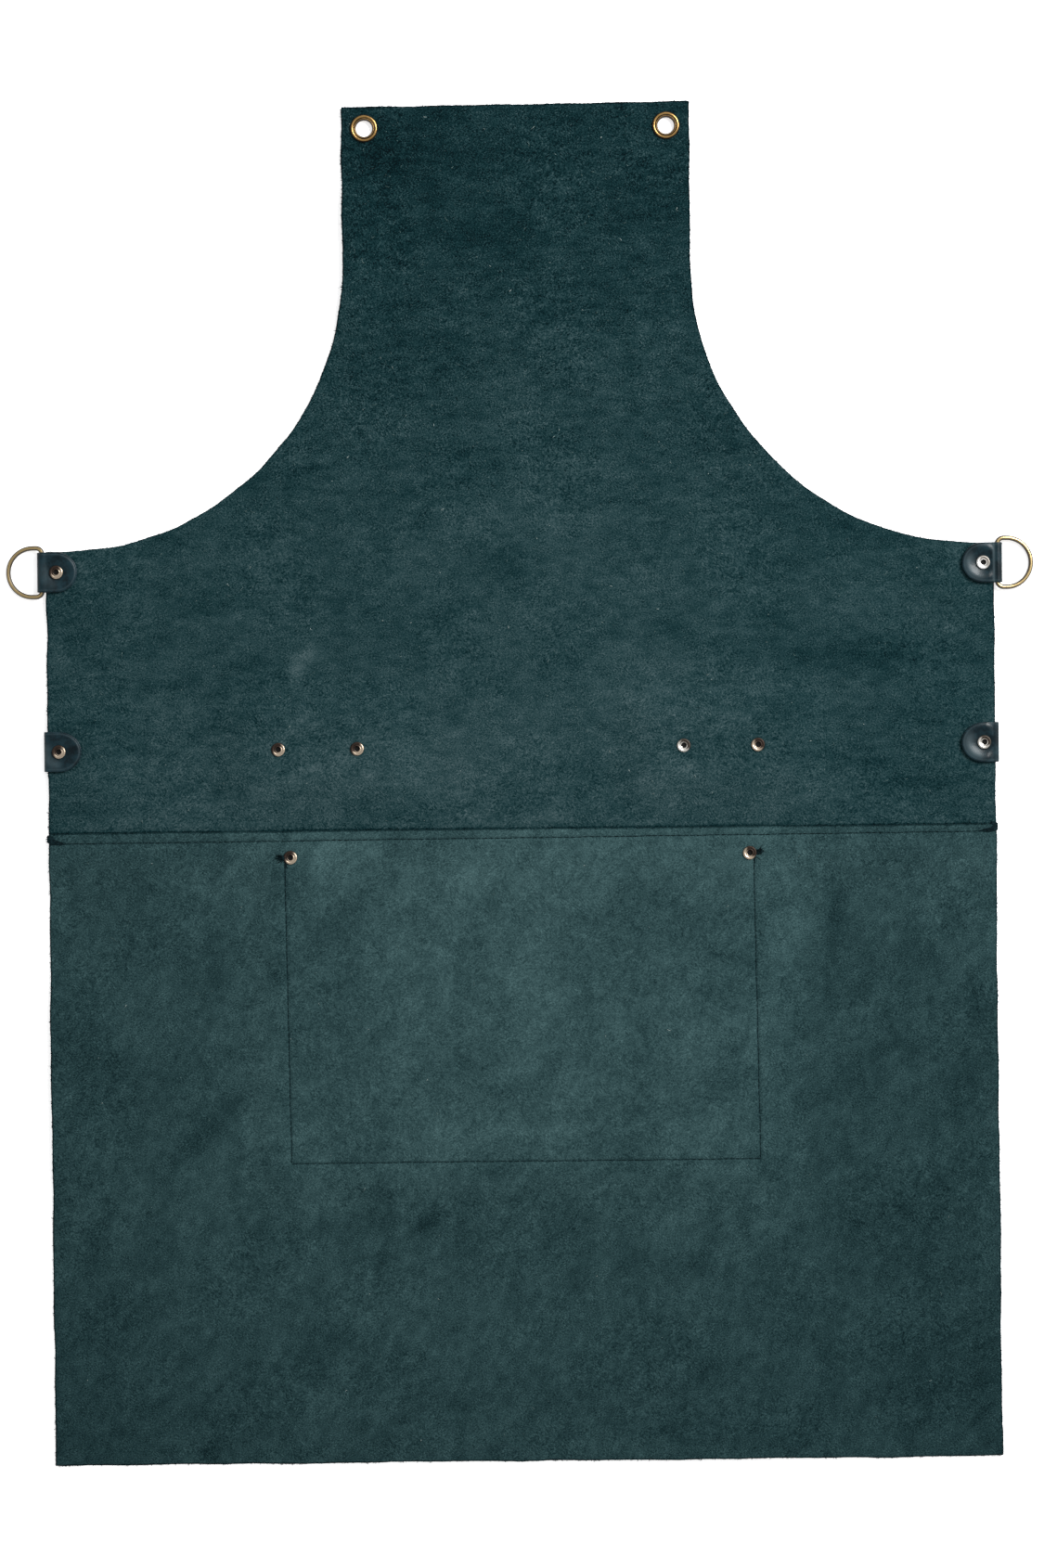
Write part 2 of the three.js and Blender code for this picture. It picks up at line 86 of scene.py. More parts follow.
bpy.context.scene.view_settings.view_transform = "Standard"
lamp = bpy.data.objects.new("lamp", bpy.data.lights.new("lamp", "AREA"))
lamp.data.size = LAMP_SIZE
lamp.data.energy = LAMP_POWER
lamp.location = LAMP_PLACE
lamp.rotation_euler = (-lamp.location).to_track_quat("-Z", "Y").to_euler()
bpy.context.scene.collection.objects.link(lamp)

sky = bpy.data.worlds.new("sky")
sky.use_nodes = True
bpy.context.scene.world = sky
sky_nodes = sky.node_tree.nodes
direction = sky_nodes.new("ShaderNodeTexCoord").outputs["Generated"]
axes = sky_nodes.new("ShaderNodeSeparateXYZ")
height = sky_nodes.new("ShaderNodeMapRange")
height.inputs["To Min"].default_value = SKY_HORIZON
height.inputs["To Max"].default_value = SKY_OVERHEAD
sky.node_tree.links.new(direction, axes.inputs[0])
sky.node_tree.links.new(axes.outputs["Z"], height.inputs["Value"])
sky.node_tree.links.new(height.outputs[0], sky_nodes["Background"].inputs["Strength"])
sky_nodes["Background"].inputs["Color"].default_value = (1, 1, 1, 1)
print("lamp at", LAMP_PLACE)

# %% [markdown]
# ## Shader maths
# A finish is easier to read as a formula than as a picture of nodes. Value wraps one socket, so that a
# sum or a product of values adds its Math nodes by itself. Finish holds a material, and its node method
# adds any other node.

# %% Values and finishes
class Value:
    """A socket that takes part in Python arithmetic: each operator adds one Math node."""

    def __init__(self, finish, socket):
        self.finish, self.socket = finish, socket

    def math(self, operation, first, second=0.0):
        """One Math node on two values or numbers."""
        return self.finish.node("ShaderNodeMath", {"operation": operation}, {0: first, 1: second})

    def __add__(self, other):
        return self.math("ADD", self, other)

    def __radd__(self, other):
        return self.math("ADD", other, self)

    def __sub__(self, other):
        return self.math("SUBTRACT", self, other)

    def __rsub__(self, other):
        return self.math("SUBTRACT", other, self)

    def __mul__(self, other):
        return self.math("MULTIPLY", self, other)

    def __rmul__(self, other):
        return self.math("MULTIPLY", other, self)

    def between(self, low, high):
        """0 up to low, 1 from high, and a smooth step between them."""
        settings = {"interpolation_type": "SMOOTHSTEP"}
        return self.finish.node("ShaderNodeMapRange", settings, {0: self, 1: low, 2: high, 3: 0.0, 4: 1.0})


class Finish:
    """A material and its nodes."""

    def __init__(self, name, **constants):
        self.material = bpy.data.materials.new(name)
        self.material.use_nodes = True
        self.tree = self.material.node_tree
        self.shader = self.tree.nodes["Principled BSDF"]
        for socket, value in constants.items():
            self.shader.inputs[socket.replace("_", " ")].default_value = value

    def node(self, kind, settings=None, inputs=None, output=0):
        """Adds a node: its settings first, then its sockets' values or links; gives one of its outputs."""
        made = self.tree.nodes.new(kind)
        for name, value in (settings or {}).items():
            if name == "stops":
                self.set_stops(made.color_ramp.elements, value)
            else:
                setattr(made, name, value)
        for name, value in (inputs or {}).items():
            self.feed(made.inputs[name], value)
        return Value(self, made.outputs[output])

    def set_stops(self, elements, stops):
        """Puts a ramp's stops, each a place from 0 to 1 and a colour."""
        for _ in range(len(stops) - len(elements)):
            elements.new(1.0)
        for element, (place, colour) in zip(elements, stops):
            element.position, element.color = place, colour

    def feed(self, socket, value):
        """Links a socket to a value, or gives it a number or a colour."""
        if isinstance(value, Value):
            self.tree.links.new(value.socket, socket)
        else:
            socket.default_value = value

    def place(self, stretch=(1, 1, 1), turn=0.0):
        """The point on the object in metres, for a pattern drawn out along its axes and turned by degrees."""
        point = self.node("ShaderNodeTexCoord", output="Object")
        inputs = {"Vector": point, "Scale": stretch, "Rotation": (0, 0, math.radians(turn))}
        return self.node("ShaderNodeMapping", {"vector_type": "TEXTURE"}, inputs)

    def noise(self, point, size, detail=0.0, roughness=0.5, swirl=0.0):
        """Soft noise around 0, between about -0.5 and 0.5, with blotches of a size in millimetres."""
        inputs = {"Vector": point, "Scale": 1 / (size * MM), "Detail": detail, "Roughness": roughness}
        return self.node("ShaderNodeTexNoise", {}, {**inputs, "Distortion": swirl}) - 0.5

    def mark(self, name):
        """A number that the mesh carries at its points."""
        return self.node("ShaderNodeAttribute", {"attribute_name": name}, output="Fac")

    def mix(self, share, first, second):
        """A colour that goes from first to second."""
        settings = {"data_type": "RGBA"}
        return self.node("ShaderNodeMix", settings, {0: share, 6: first, 7: second}, output=2)

    def paint(self, colour=None, roughness=None, metallic=None, bump=None, depth=0.1, strength=1.0):
        """Feeds what changes over the surface to the shader; depth is the bump's height in millimetres."""
        for socket, value in (("Base Color", colour), ("Roughness", roughness), ("Metallic", metallic)):
            if value is not None:
                self.feed(self.shader.inputs[socket], value)
        if bump is not None:
            inputs = {"Height": bump, "Distance": depth * MM, "Strength": strength}
            self.feed(self.shader.inputs["Normal"], self.node("ShaderNodeBump", {}, inputs))
        return self.material


def tint(red, green, blue, light=1.0):
    """A screen colour from 0 to 255 as the shader's linear colour, divided by the light that falls on it."""
    screen = np.array([red, green, blue]) / 255
    linear = np.where(screen > 0.04045, ((screen + 0.055) / 1.055) ** 2.4, screen / 12.92)
    return (*(linear / light).tolist(), 1.0)


print("shader maths ready")

# %% [markdown]
# ## Meshes from arrays
# Every piece is an array of points and an array of faces. A grid of points gives its own faces by
# counting, so no loop over points is needed, and the same few shapes serve the whole apron: a slab, a
# turned piece and a tube.

# %% Mesh, grid and slab
def put_mesh(name, points, faces, finishes, zones=None, marks=None):
    """An object from points in millimetres and faces: zones picks each face's finish, and marks are
    numbers that the mesh carries at its points."""
    mesh = bpy.data.meshes.new(name)
    faces = faces if isinstance(faces, list) else faces.tolist()
    mesh.from_pydata((np.asarray(points).reshape(-1, 3) * MM).tolist(), [], faces)
    for finish in finishes:
        mesh.materials.append(finish)
    if zones is not None:
        mesh.polygons.foreach_set("material_index", np.asarray(zones, np.int32))
    mesh.polygons.foreach_set("use_smooth", np.ones(len(faces), bool))
    for mark, numbers in (marks or {}).items():
        layer = mesh.attributes.new(mark, "FLOAT", "POINT")
        layer.data.foreach_set("value", np.asarray(numbers, np.float32).ravel())
    mesh.update()
    piece = bpy.data.objects.new(name, mesh)
    bpy.context.scene.collection.objects.link(piece)
    print(name, "faces:", len(faces))
    return piece


def grid_quads(rows, columns, wrap_rows=False, wrap_columns=False):
    """The quads between neighbours in a grid; wrapping joins its last row or column to the first."""
    row = np.arange(rows if wrap_rows else rows - 1)[:, None]
    column = np.arange(columns if wrap_columns else columns - 1)[None, :]
    below, beside = (row + 1) % rows, (column + 1) % columns
    here, there = row * columns, below * columns
    corners = (here + column, here + beside, there + beside, there + column)
    return np.stack(np.broadcast_arrays(*corners), -1).reshape(-1, 4)


def around(index):
    """The border of a grid of indices, once round: along the first row, up, back along the last, down."""
    return np.concatenate([index[0, :-1], index[:-1, -1], index[-1, :0:-1], index[:0:-1, 0]])


def unit(vectors):
    """Vectors of length 1 in the same directions."""
    return vectors / np.maximum(np.linalg.norm(vectors, axis=-1, keepdims=True), 1e-9)


def step(low, high, value):
    """0 up to low, 1 from high, and 3s² - 2s³ of the share s between them."""
    share = np.clip((value - low) / (high - low), 0, 1)
    return share * share * (3 - 2 * share)


RIM_RINGS = 3


def slab(outer, inner, bulge, hole=None):
    """A closed slab between two grids of points: half a flattened circle rounds its rim, and a wall lines
    each hole.

    Gives points, faces, each face's zone (0 outer, 1 rim, 2 inner), each point's place in the grid, and
    the rim with its outward directions.
    """
    rows, columns = outer.shape[:2]
    index = np.arange(rows * columns).reshape(rows, columns)
    layer = index.size
    keep = np.ones((rows - 1, columns - 1), bool)
    walls = []
    for low_row, high_row, low_column, high_column in hole or ():
        keep[low_row:high_row, low_column:high_column] = False
        ring = around(index[low_row : high_row + 1, low_column : high_column + 1])
        after = np.roll(ring, -1)
        walls.append(np.stack([ring, after, after + layer, ring + layer], -1))
    top = grid_quads(rows, columns)[keep.ravel()]

    border = around(index)
    upper, lower = outer.reshape(-1, 3)[border], inner.reshape(-1, 3)[border]
    middle, half = (upper + lower) / 2, (upper - lower) / 2
    outward = unit(np.cross(np.roll(middle, -1, 0) - np.roll(middle, 1, 0), half))
    angle = np.linspace(np.pi / 2, -np.pi / 2, RIM_RINGS + 2)[1:-1, None, None]
    rim = middle + half * np.sin(angle) + bulge * outward * np.cos(angle)
    rings = 2 * layer + np.arange(RIM_RINGS * len(border)).reshape(RIM_RINGS, -1)
    strip = np.concatenate([border[None], rings, border[None] + layer])
    high, low = strip[:-1], strip[1:]
    band = np.stack([low, np.roll(low, -1, 1), np.roll(high, -1, 1), high], -1).reshape(-1, 4)

    points = np.concatenate([outer.reshape(-1, 3), inner.reshape(-1, 3), rim.reshape(-1, 3)])
    source = np.concatenate([index.ravel(), index.ravel(), np.tile(border, RIM_RINGS)])
    faces = np.concatenate([top, band, *walls, top[:, ::-1] + layer])
    lining = sum(len(wall) for wall in walls)
    zones = np.repeat([0, 1, 2], [len(top), len(band) + lining, len(top)])
    used, faces = np.unique(faces, return_inverse=True)
    shape = {"points": points[used], "faces": faces.reshape(-1, 4), "zones": zones, "source": source[used]}
    return {**shape, "rim": middle + bulge * outward, "outward": outward}


def put_slab(name, shape, finishes, marks):
    """The object of a slab, whose marks are grids of numbers."""
    marks = {mark: numbers.ravel()[shape["source"]] for mark, numbers in marks.items()}
    return put_mesh(name, shape["points"], shape["faces"], finishes, shape["zones"], marks)


print("mesh tools ready")

# %% [markdown]
# ## Turned pieces and tubes
# Rivets and eyelets are turned on a lathe, so a profile of radius and height goes round an axis. Wire,
# thread and fibres are tubes: a small circle is carried along a path. Corner cutting rounds a profile
# that was given by corners.

# %% Lathe and tube
def rounded(profile, passes, closed=False):
    """Corner cutting: in each pass, points a quarter and three quarters along every side replace the
    corners."""
    for _ in range(passes):
        start = profile if closed else profile[:-1]
        end = np.roll(profile, -1, 0) if closed else profile[1:]
        near, far = 0.75 * start + 0.25 * end, 0.25 * start + 0.75 * end
        cut = np.stack([near, far], 1).reshape(-1, profile.shape[1])
        profile = cut if closed else np.concatenate([profile[:1], cut, profile[-1:]])
    return profile


def turned(profile, sides, centre, closed=False):
    """A profile of radius and height turned about an upright axis; an open one starts and ends on it."""
    ring = profile if closed else profile[1:-1]
    angle = np.linspace(0, 2 * np.pi, sides, endpoint=False)
    x, y = ring[:, :1] * np.cos(angle), ring[:, :1] * np.sin(angle)
    points = np.stack([x, y, np.broadcast_to(ring[:, 1:], x.shape)], -1).reshape(-1, 3)
    faces = grid_quads(len(ring), sides, wrap_rows=closed, wrap_columns=True).tolist()
    if not closed:
        poles = np.array([[0, 0, profile[0, 1]], [0, 0, profile[-1, 1]]])
        first = np.arange(sides)
        last = first + (len(ring) - 1) * sides
        count = len(points)
        faces += np.stack([np.full(sides, count), np.roll(first, -1), first], -1).tolist()
        faces += np.stack([np.full(sides, count + 1), last, np.roll(last, -1)], -1).tolist()
        points = np.concatenate([points, poles])
    return points + np.asarray(centre), faces


def tubes(paths, radii, sides, aside, closed=False):
    """Tubes along an array of paths: at each point a circle stands across the path, whose first spoke is
    square to the path and to the direction aside. Open tubes get a face at each end."""
    count, steps = paths.shape[:2]
    if closed:
        along = unit(np.roll(paths, -1, 1) - np.roll(paths, 1, 1))
    else:
        along = unit(np.gradient(paths, axis=1))
    spoke = unit(np.cross(along, np.asarray(aside, float)))
    other = np.cross(along, spoke)
    angle = np.linspace(0, 2 * np.pi, sides, endpoint=False)[:, None]
    ring = spoke[:, :, None] * np.cos(angle) + other[:, :, None] * np.sin(angle)
    points = paths[:, :, None] + ring * np.broadcast_to(radii, (count, steps))[..., None, None]
    start = np.arange(count)[:, None] * steps * sides
    quads = grid_quads(steps, sides, wrap_rows=closed, wrap_columns=True)
    faces = (start[..., None] + quads[None]).reshape(-1, 4).tolist()
    if not closed:
        faces += (start + np.arange(sides)[::-1]).tolist()
        faces += (start + (steps - 1) * sides + np.arange(sides)).tolist()
    return points.reshape(-1, 3), faces


print("lathe and tube ready")

# %% [markdown]
# ## Suede
# Suede is the rough side of a hide: a short nap that looks light or dark by the way each patch was last
# brushed. The large patches belong to their place on the apron, so the mesh carries them as a number, in
# screen levels. Noise of several sizes adds the mottling and the grain of the nap, whose short strokes
# lie one way or another from place to place, and one colour scale turns the level into a colour.

# %% Suede finish
LIGHT_ON_FLOOR = 1.95
SCALE_TOP = 128
MIDDLE_TONE = 60
STROKE_STRETCH = (1.65, 1, 1)
STROKE_TURNS = (28, -47)
STROKE_SIZE = 0.72

# How strongly each noise shows, in screen levels, and how much darker a cut edge is: partly its own dye,
# partly painted contact shade
GRAIN_LEVELS, NAP_LEVELS, SPECK_LEVELS, PIT_LEVELS = 94, 15, 7, 8
CLUMP_LEVELS, PATCH_LEVELS, CLOUD_LEVELS = 16, 24, 8
CUT_DYE_AND_SHADE_LEVELS = 30


def lit(red, green, blue):
    """The colour of a surface that shows as a screen colour in the floor's light."""
    return tint(red, green, blue, LIGHT_ON_FLOOR)


def hide_tint(level, red, cool):
    """The hide's colour at a screen level: red's own slope and start, and blue a little ahead of green."""
    slope, start = red
    return lit(max(slope * level + start, 1), 0.99 * level + 5, 0.97 * level + 8.5 + cool)


def suede(name, brushed, turn, mottle, red, cool):
    """The nap: grain as coarse as the mesh says, and mottling drawn out along a brushed direction.

    Red is the slope and the start of that colour, and cool adds blue.
    """
    finish = Finish(name, Specular_IOR_Level=0.04, Sheen_Weight=0.02, Sheen_Roughness=0.5)
    finish.shader.inputs["Sheen Tint"].default_value = tint(120, 160, 165)
    still = finish.place()
    drawn = finish.place(stretch=brushed, turn=turn)
    strokes = [
        finish.noise(finish.place(STROKE_STRETCH, lay), STROKE_SIZE, detail=1.0, roughness=0.7)
        for lay in STROKE_TURNS
    ]
    grain = strokes[0] + finish.noise(still, 13.0).between(-0.12, 0.12) * (strokes[1] - strokes[0])
    nap = finish.noise(drawn, 4.0)
    clumps = finish.noise(still, 9.0, detail=1.0, swirl=0.5)
    patches = finish.noise(drawn, 24.0, detail=2.0, swirl=0.8)
    clouds = finish.noise(still, 60.0, swirl=0.5)
    specks = finish.noise(still, 1.9).between(0.2, 0.3)
    pits = finish.noise(drawn, 2.6, detail=1.0).between(0.16, 0.28)
    coarse, tone = finish.mark("coarse"), finish.mark("tone")
    fine = grain * GRAIN_LEVELS + nap * NAP_LEVELS + specks * SPECK_LEVELS - pits * PIT_LEVELS
    broad = clumps * CLUMP_LEVELS + patches * PATCH_LEVELS + clouds * CLOUD_LEVELS
    # A cut edge is darker: partly the edge's own dye, partly painted contact shade along it.
    cut = 1 - finish.mark("edge").between(0.15, 0.9)
    level = tone + coarse * fine + tone * (mottle / MIDDLE_TONE) * broad - cut * CUT_DYE_AND_SHADE_LEVELS
    scale = [(stop / SCALE_TOP, hide_tint(stop, red, cool)) for stop in range(8, SCALE_TOP, 15)]
    colour = finish.node("ShaderNodeValToRGB", {"stops": scale}, {0: level * (1 / SCALE_TOP)})
    roughness = 0.9 + clumps * 0.2
    return finish.paint(colour, roughness, bump=grain + nap * 0.6, depth=0.35, strength=0.5)


bib_suede = suede("suede_bib", brushed=(2.3, 1, 1), turn=2, mottle=1.15, red=(1.19, -35.0), cool=1.5)
skirt_suede = suede("suede_skirt", brushed=(1, 1.6, 1), turn=-32, mottle=1.25, red=(0.89, -14.2), cool=0.5)
print("finishes:", bib_suede.name, skirt_suede.name)

# %% [markdown]
# ## Smooth leather
# The front of the hide and the strips cut for the tabs and loops are smooth, waxed leather. Its pebbles
# are the cells of a Voronoi pattern, the wax leaves cloudy light and dark, and a cut or bent rim wears
# to a paler line. The same paler colour also paints highlights where a tab's fold and swell face the lamp.

# %% Smooth leather finish
def smooth_leather(name, deep, pale, rim, pebble):
    """Waxed leather of two tones with a paler colour, brought in by a mark for a rim's wear and for painted
    highlights, and a grain of pebbles of a size in millimetres.
    """
    finish = Finish(name, Specular_IOR_Level=0.18)
    point = finish.place()
    inputs = {"Vector": point, "Scale": 1 / (pebble * MM)}
    cells = finish.node("ShaderNodeTexVoronoi", {"feature": "F1"}, inputs)
    fine = finish.noise(point, pebble * 1.7, detail=2.0)
    clouds = finish.noise(point, 9.0, detail=3.0, roughness=0.6)
    worn = finish.mark("worn")
    waxed = finish.mix((clouds + fine * 0.3).between(-0.18, 0.18), deep, pale)
    colour = finish.mix(worn, waxed, rim)
    bump = cells * -0.5 + fine
    roughness = 0.34 + clouds * 0.3 - worn * 0.05
    return finish.paint(colour, roughness, bump=bump, depth=0.1, strength=0.3)


front_leather = smooth_leather("front_leather", lit(12, 32, 38), lit(26, 50, 56), lit(50, 72, 78), 1.3)
strip_leather = smooth_leather("strip_leather", lit(3, 23, 30), lit(22, 51, 60), lit(88, 106, 112), 0.8)
print("finishes:", front_leather.name, strip_leather.name)

# %% [markdown]
# ## Antique brass and rivet metal
# The rings and eyelets are plated in antique brass: brown in the hollows, rubbed to gold on the crests.
# The mesh carries a number for how bright each place is: wear on all of them, and on the rings and
# rivets also a painted highlight and painted shade. Most rivets are a pinkish nickel, two are pewter, and one
# is newer and silver.

# %% Metal finishes
# Near black: painted shade for a rivet's blind hole and its shaded side
SHADE_BLACK = tint(6, 5, 4)


def antique(name, dark, bright, crest_roughness, patina=0.25):
    """Plated metal that a mark takes from a dark patina to a crest brightened by rubbing, with cloudy tarnish
    and fine scratches.
    On the rings and rivets the same mark also paints highlights and shade.

    Patina says how much less metallic the dark places are.
    """
    finish = Finish(name)
    point = finish.place()
    tarnish = finish.noise(point, 3.0, detail=3.0, roughness=0.6)
    scratches = finish.noise(finish.place(stretch=(6, 1, 1), turn=30), 0.12, detail=1.0)
    worn = finish.mark("worn")
    rub_and_highlight = (worn + tarnish * 0.7).between(0.1, 0.9)
    # A negative mark paints near-black shade, in a rivet's hole and on its shaded side.
    painted_shade = (-1 * worn).between(0.3, 0.7)
    colour = finish.mix(painted_shade, finish.mix(rub_and_highlight, dark, bright), SHADE_BLACK)
    roughness = crest_roughness + 0.2 * (1 - rub_and_highlight) + tarnish * 0.12
    metallic = 1.0 - patina * (1 - rub_and_highlight)
    return finish.paint(colour, roughness, metallic, bump=scratches, depth=0.02, strength=0.4)


ring_brass = antique("ring_brass", tint(40, 31, 18), tint(184, 162, 116), 0.28, 0.85)
eyelet_brass = antique("eyelet_brass", tint(32, 22, 10), tint(168, 134, 82), 0.3)
rivet_metal = antique("rivet_metal", tint(40, 29, 22), tint(188, 172, 152), 0.32)
pewter = antique("rivet_pewter", tint(52, 46, 40), tint(214, 211, 204), 0.3)
silver = antique("rivet_silver", tint(128, 124, 118), tint(250, 250, 248), 0.3)
print("finishes:", ring_brass.name, eyelet_brass.name, rivet_metal.name, pewter.name, silver.name)

# %% [markdown]
# ## Thread and fibres
# The sewing thread is nearly black. The loose fibres of the cut edges have the colour of the hide. Most
# of the lint on the nap is paler, because it lies on top and catches the light, and some of it is dark.

# %% Thread and fibre finishes
def strand_finish(name, dark, light, size):
    """A fibre or thread of two tones that change along it."""
    finish = Finish(name, Specular_IOR_Level=0.03)
    mottle = finish.noise(finish.place(), size, detail=1.0)
    return finish.paint(finish.mix(mottle.between(-0.2, 0.2), dark, light), roughness=0.75 + mottle * 0.2)


thread = strand_finish("thread", lit(4, 17, 20), lit(24, 45, 50), 1.6)
fibre = strand_finish("edge_fibre", lit(8, 28, 30), lit(34, 60, 64), 3.0)
lint = strand_finish("lint", lit(72, 104, 106), lit(138, 164, 161), 20.0)
dark_lint = strand_finish("dark_lint", lit(6, 26, 30), lit(20, 46, 51), 20.0)
speck = strand_finish("speck", lit(96, 124, 124), lit(190, 206, 202), 20.0)
print("finishes:", thread.name, fibre.name, lint.name, dark_lint.name, speck.name)

# %% [markdown]
# ## How the leather lies
# A hide does not lie quite flat: the fittings on its front hold it off the floor, and its edges lift a
# little. Each rest is a small rectangle that carries the leather at a height, and the leather comes down
# smoothly around it.

# %% Rests and ripples
HIDE = 1.8
STRIP = 1.4
GAP = 0.25
SIDE_X = 300
HEM_Y = -430
NECK_Y = 430
NECK_X = 110
SHOULDER_Y = 149
ARMHOLE = 180
SKIRT_TOP_Y = -29.6
BIB_BOTTOM_Y = -40
POCKET_MIDDLE_X = -1.7
POCKET_HALF = 152
POCKET_TOP_Y = -41.5
POCKET_BOTTOM_Y = -243.5
POCKET_MIDDLE_Y = (POCKET_TOP_Y + POCKET_BOTTOM_Y) / 2
POCKET_HALF_HEIGHT = (POCKET_TOP_Y - POCKET_BOTTOM_Y) / 2
TAB_X = 288
RING_TAB_Y = 136.3
WAIST_ROW_Y = 22.5
LOOP_XS = {"left": 129.2, "right": 126.3}
LOOP_HALF_SPANS = {"left": 25, "right": 23.5}
GROMMET_X, GROMMET_Y = 95.7, 415.7
POCKET_RIVET_X, POCKET_RIVET_Y = 145.5, -46
CAP_TOP = 1.25
STRIP_TOP = CAP_TOP + STRIP + GAP
SIDES = {"left": -1, "right": 1}

# Each rest: middle x and y, half its width and height, the lift it gives, and the reach of its slope
BIB_RESTS = [
    *[(side * TAB_X, RING_TAB_Y, 14, 14, STRIP_TOP, 40) for side in SIDES.values()],
    *[(side * TAB_X, WAIST_ROW_Y, 14, 14, STRIP_TOP, 36) for side in SIDES.values()],
    *[(side * LOOP_XS[name], WAIST_ROW_Y, 40, 14, STRIP_TOP, 36) for name, side in SIDES.items()],
    *[(side * GROMMET_X, GROMMET_Y, 10, 10, 0.95, 30) for side in SIDES.values()],
    (-112, 335, 2, 25, 4, 40),
    (150, 222, 3, 3, 2.5, 45),
]
POCKET_RESTS = [
    (POCKET_MIDDLE_X + side * POCKET_RIVET_X, POCKET_RIVET_Y, 8, 8, CAP_TOP, 20) for side in SIDES.values()
]
SKIRT_RESTS = [
    (0, -35, SIDE_X, 8, HIDE + GAP, 30),
    (POCKET_MIDDLE_X, POCKET_MIDDLE_Y, POCKET_HALF + 2, POCKET_HALF_HEIGHT + 2, HIDE + GAP, 30),
    (-SIDE_X, -190, 2, 40, 3, 50),
    (SIDE_X, -300, 2, 30, 2.5, 50),
    (120, HEM_Y, 40, 2, 2, 45),
]


def lift(rests, x, y):
    """The leather's underside over its rests: the highest of ramps, each full on its rectangle and ending
    at its reach."""
    middle_x, middle_y, half_x, half_y, height, reach = np.array(rests).T
    out_x = np.maximum(np.abs(x[..., None] - middle_x) - half_x, 0)
    out_y = np.maximum(np.abs(y[..., None] - middle_y) - half_y, 0)
    return (height * step(0, 1, 1 - np.hypot(out_x, out_y) / reach)).max(-1)


def waves(x, y, lengths, seed):
    """Unevenness between about -1 and 1: the mean of plane waves of given lengths, in seeded directions."""
    draw = np.random.default_rng(seed)
    turn, phase = draw.uniform(0, 2 * np.pi, (2, len(lengths)))
    along = x[..., None] * np.cos(turn) + y[..., None] * np.sin(turn)
    return np.sin(2 * np.pi * along / np.array(lengths) + phase).mean(-1)


CLOSE_LINES = np.array([-2.2, -1.2, -0.6, 0, 0.6, 1.2, 2.2])
END_LINE = 1.2


def lines(low, high, spacing, *dense):
    """Grid lines at about a spacing, with some closer ones around given places, and close to both ends."""
    even = np.linspace(low, high, round((high - low) / spacing) + 1)
    near = np.concatenate([place + CLOSE_LINES for place in dense or [low]])
    near = near[(near > low + 2) & (near < high - 2)]
    clear = np.abs(even[:, None] - near).min(1, initial=spacing) > 0.55 * spacing
    return np.unique(np.concatenate([even[clear], near, [low, low + END_LINE, high - END_LINE, high]]))


print("rests:", len(BIB_RESTS) + len(POCKET_RESTS) + len(SKIRT_RESTS))

# %% [markdown]
# ## The tone of the nap
# The picture's suede is darkest at the neck, lighter at the waist and lightest over the pocket. On top of
# that are single patches: a pale scuff, some dark smudges and brushed streaks. Each is a soft ellipse
# with its own tilt. Painted shade is added in two narrow places: a shadow on the bib along the skirt's
# top edge, and shade in the valleys of the stitches.

# %% Tone patches
BASE_TONE = 61.5

# Each patch: middle x and y, half its length and width, its tilt in degrees, and its change in screen levels
BIB_PATCHES = [
    (-137, 81, 9, 6, 20, 30),
    (-143, 70, 4, 10, 0, 22),
    (-123, 76, 9, 5, -35, 9),
    (-40, 22, 190, 22, 9, 5),
    (225, 50, 90, 60, 0, -4),
    (-160, 75, 90, 12, 6, -3),
    (-69, 404, 45, 20, 0, -6),
    (-93, 370, 20, 40, 0, -4),
    (77, 385, 20, 30, 0, 4),
    (86, 293, 12, 25, 0, 4),
    (57, 259, 10, 30, -20, 4),
    (4, 240, 15, 25, 0, 4),
    (-98, 259, 30, 18, 0, -4),
    (86, 215, 25, 12, 0, -3),
    (198, 167, 45, 10, -25, -6),
    (-103, 162, 14, 12, 0, 6),
    (-10, 167, 45, 12, 0, 4),
    (57, 167, 40, 8, 8, 3),
    (-146, 113, 15, 6, 0, -4),
    (-214, 111, 25, 7, 4, -6),
    (18, 79, 12, 12, 0, -5),
    (96, 99, 15, 9, 10, -6),
    (164, 104, 10, 8, 0, -6),
    (135, 84, 20, 8, 0, -5),
    (232, 79, 60, 9, 0, -13),
    (77, 55, 26, 18, 0, 6),
    (144, 45, 18, 10, 0, 4),
    (251, 118, 40, 8, 8, 5),
    (-214, 16, 50, 14, 6, 3),
    (4, -13, 18, 5, 25, -10),
    (106, 21, 25, 7, 5, -5),
    (212, 12, 35, 8, -8, -10),
    (241, -3, 18, 9, 0, -8),
    (-272, 41, 20, 30, 0, -4),
    (-171, 41, 8, 20, 0, -3),
    (-68, 275, 52, 75, 0, -4),
    (-150, -14, 160, 20, 0, 4),
    (-59, -16, 32, 14, 0, 4),
    (72, 16, 75, 20, 0, 4.5),
    (274, 82, 36, 36, 0, 4.5),
    (-100, 85, 55, 32, 0, -3.5),
    (50, 150, 36, 85, 0, 2.5),
    (195, 155, 34, 24, 0, -5),
    (-95, 405, 18, 16, 0, -6),
]
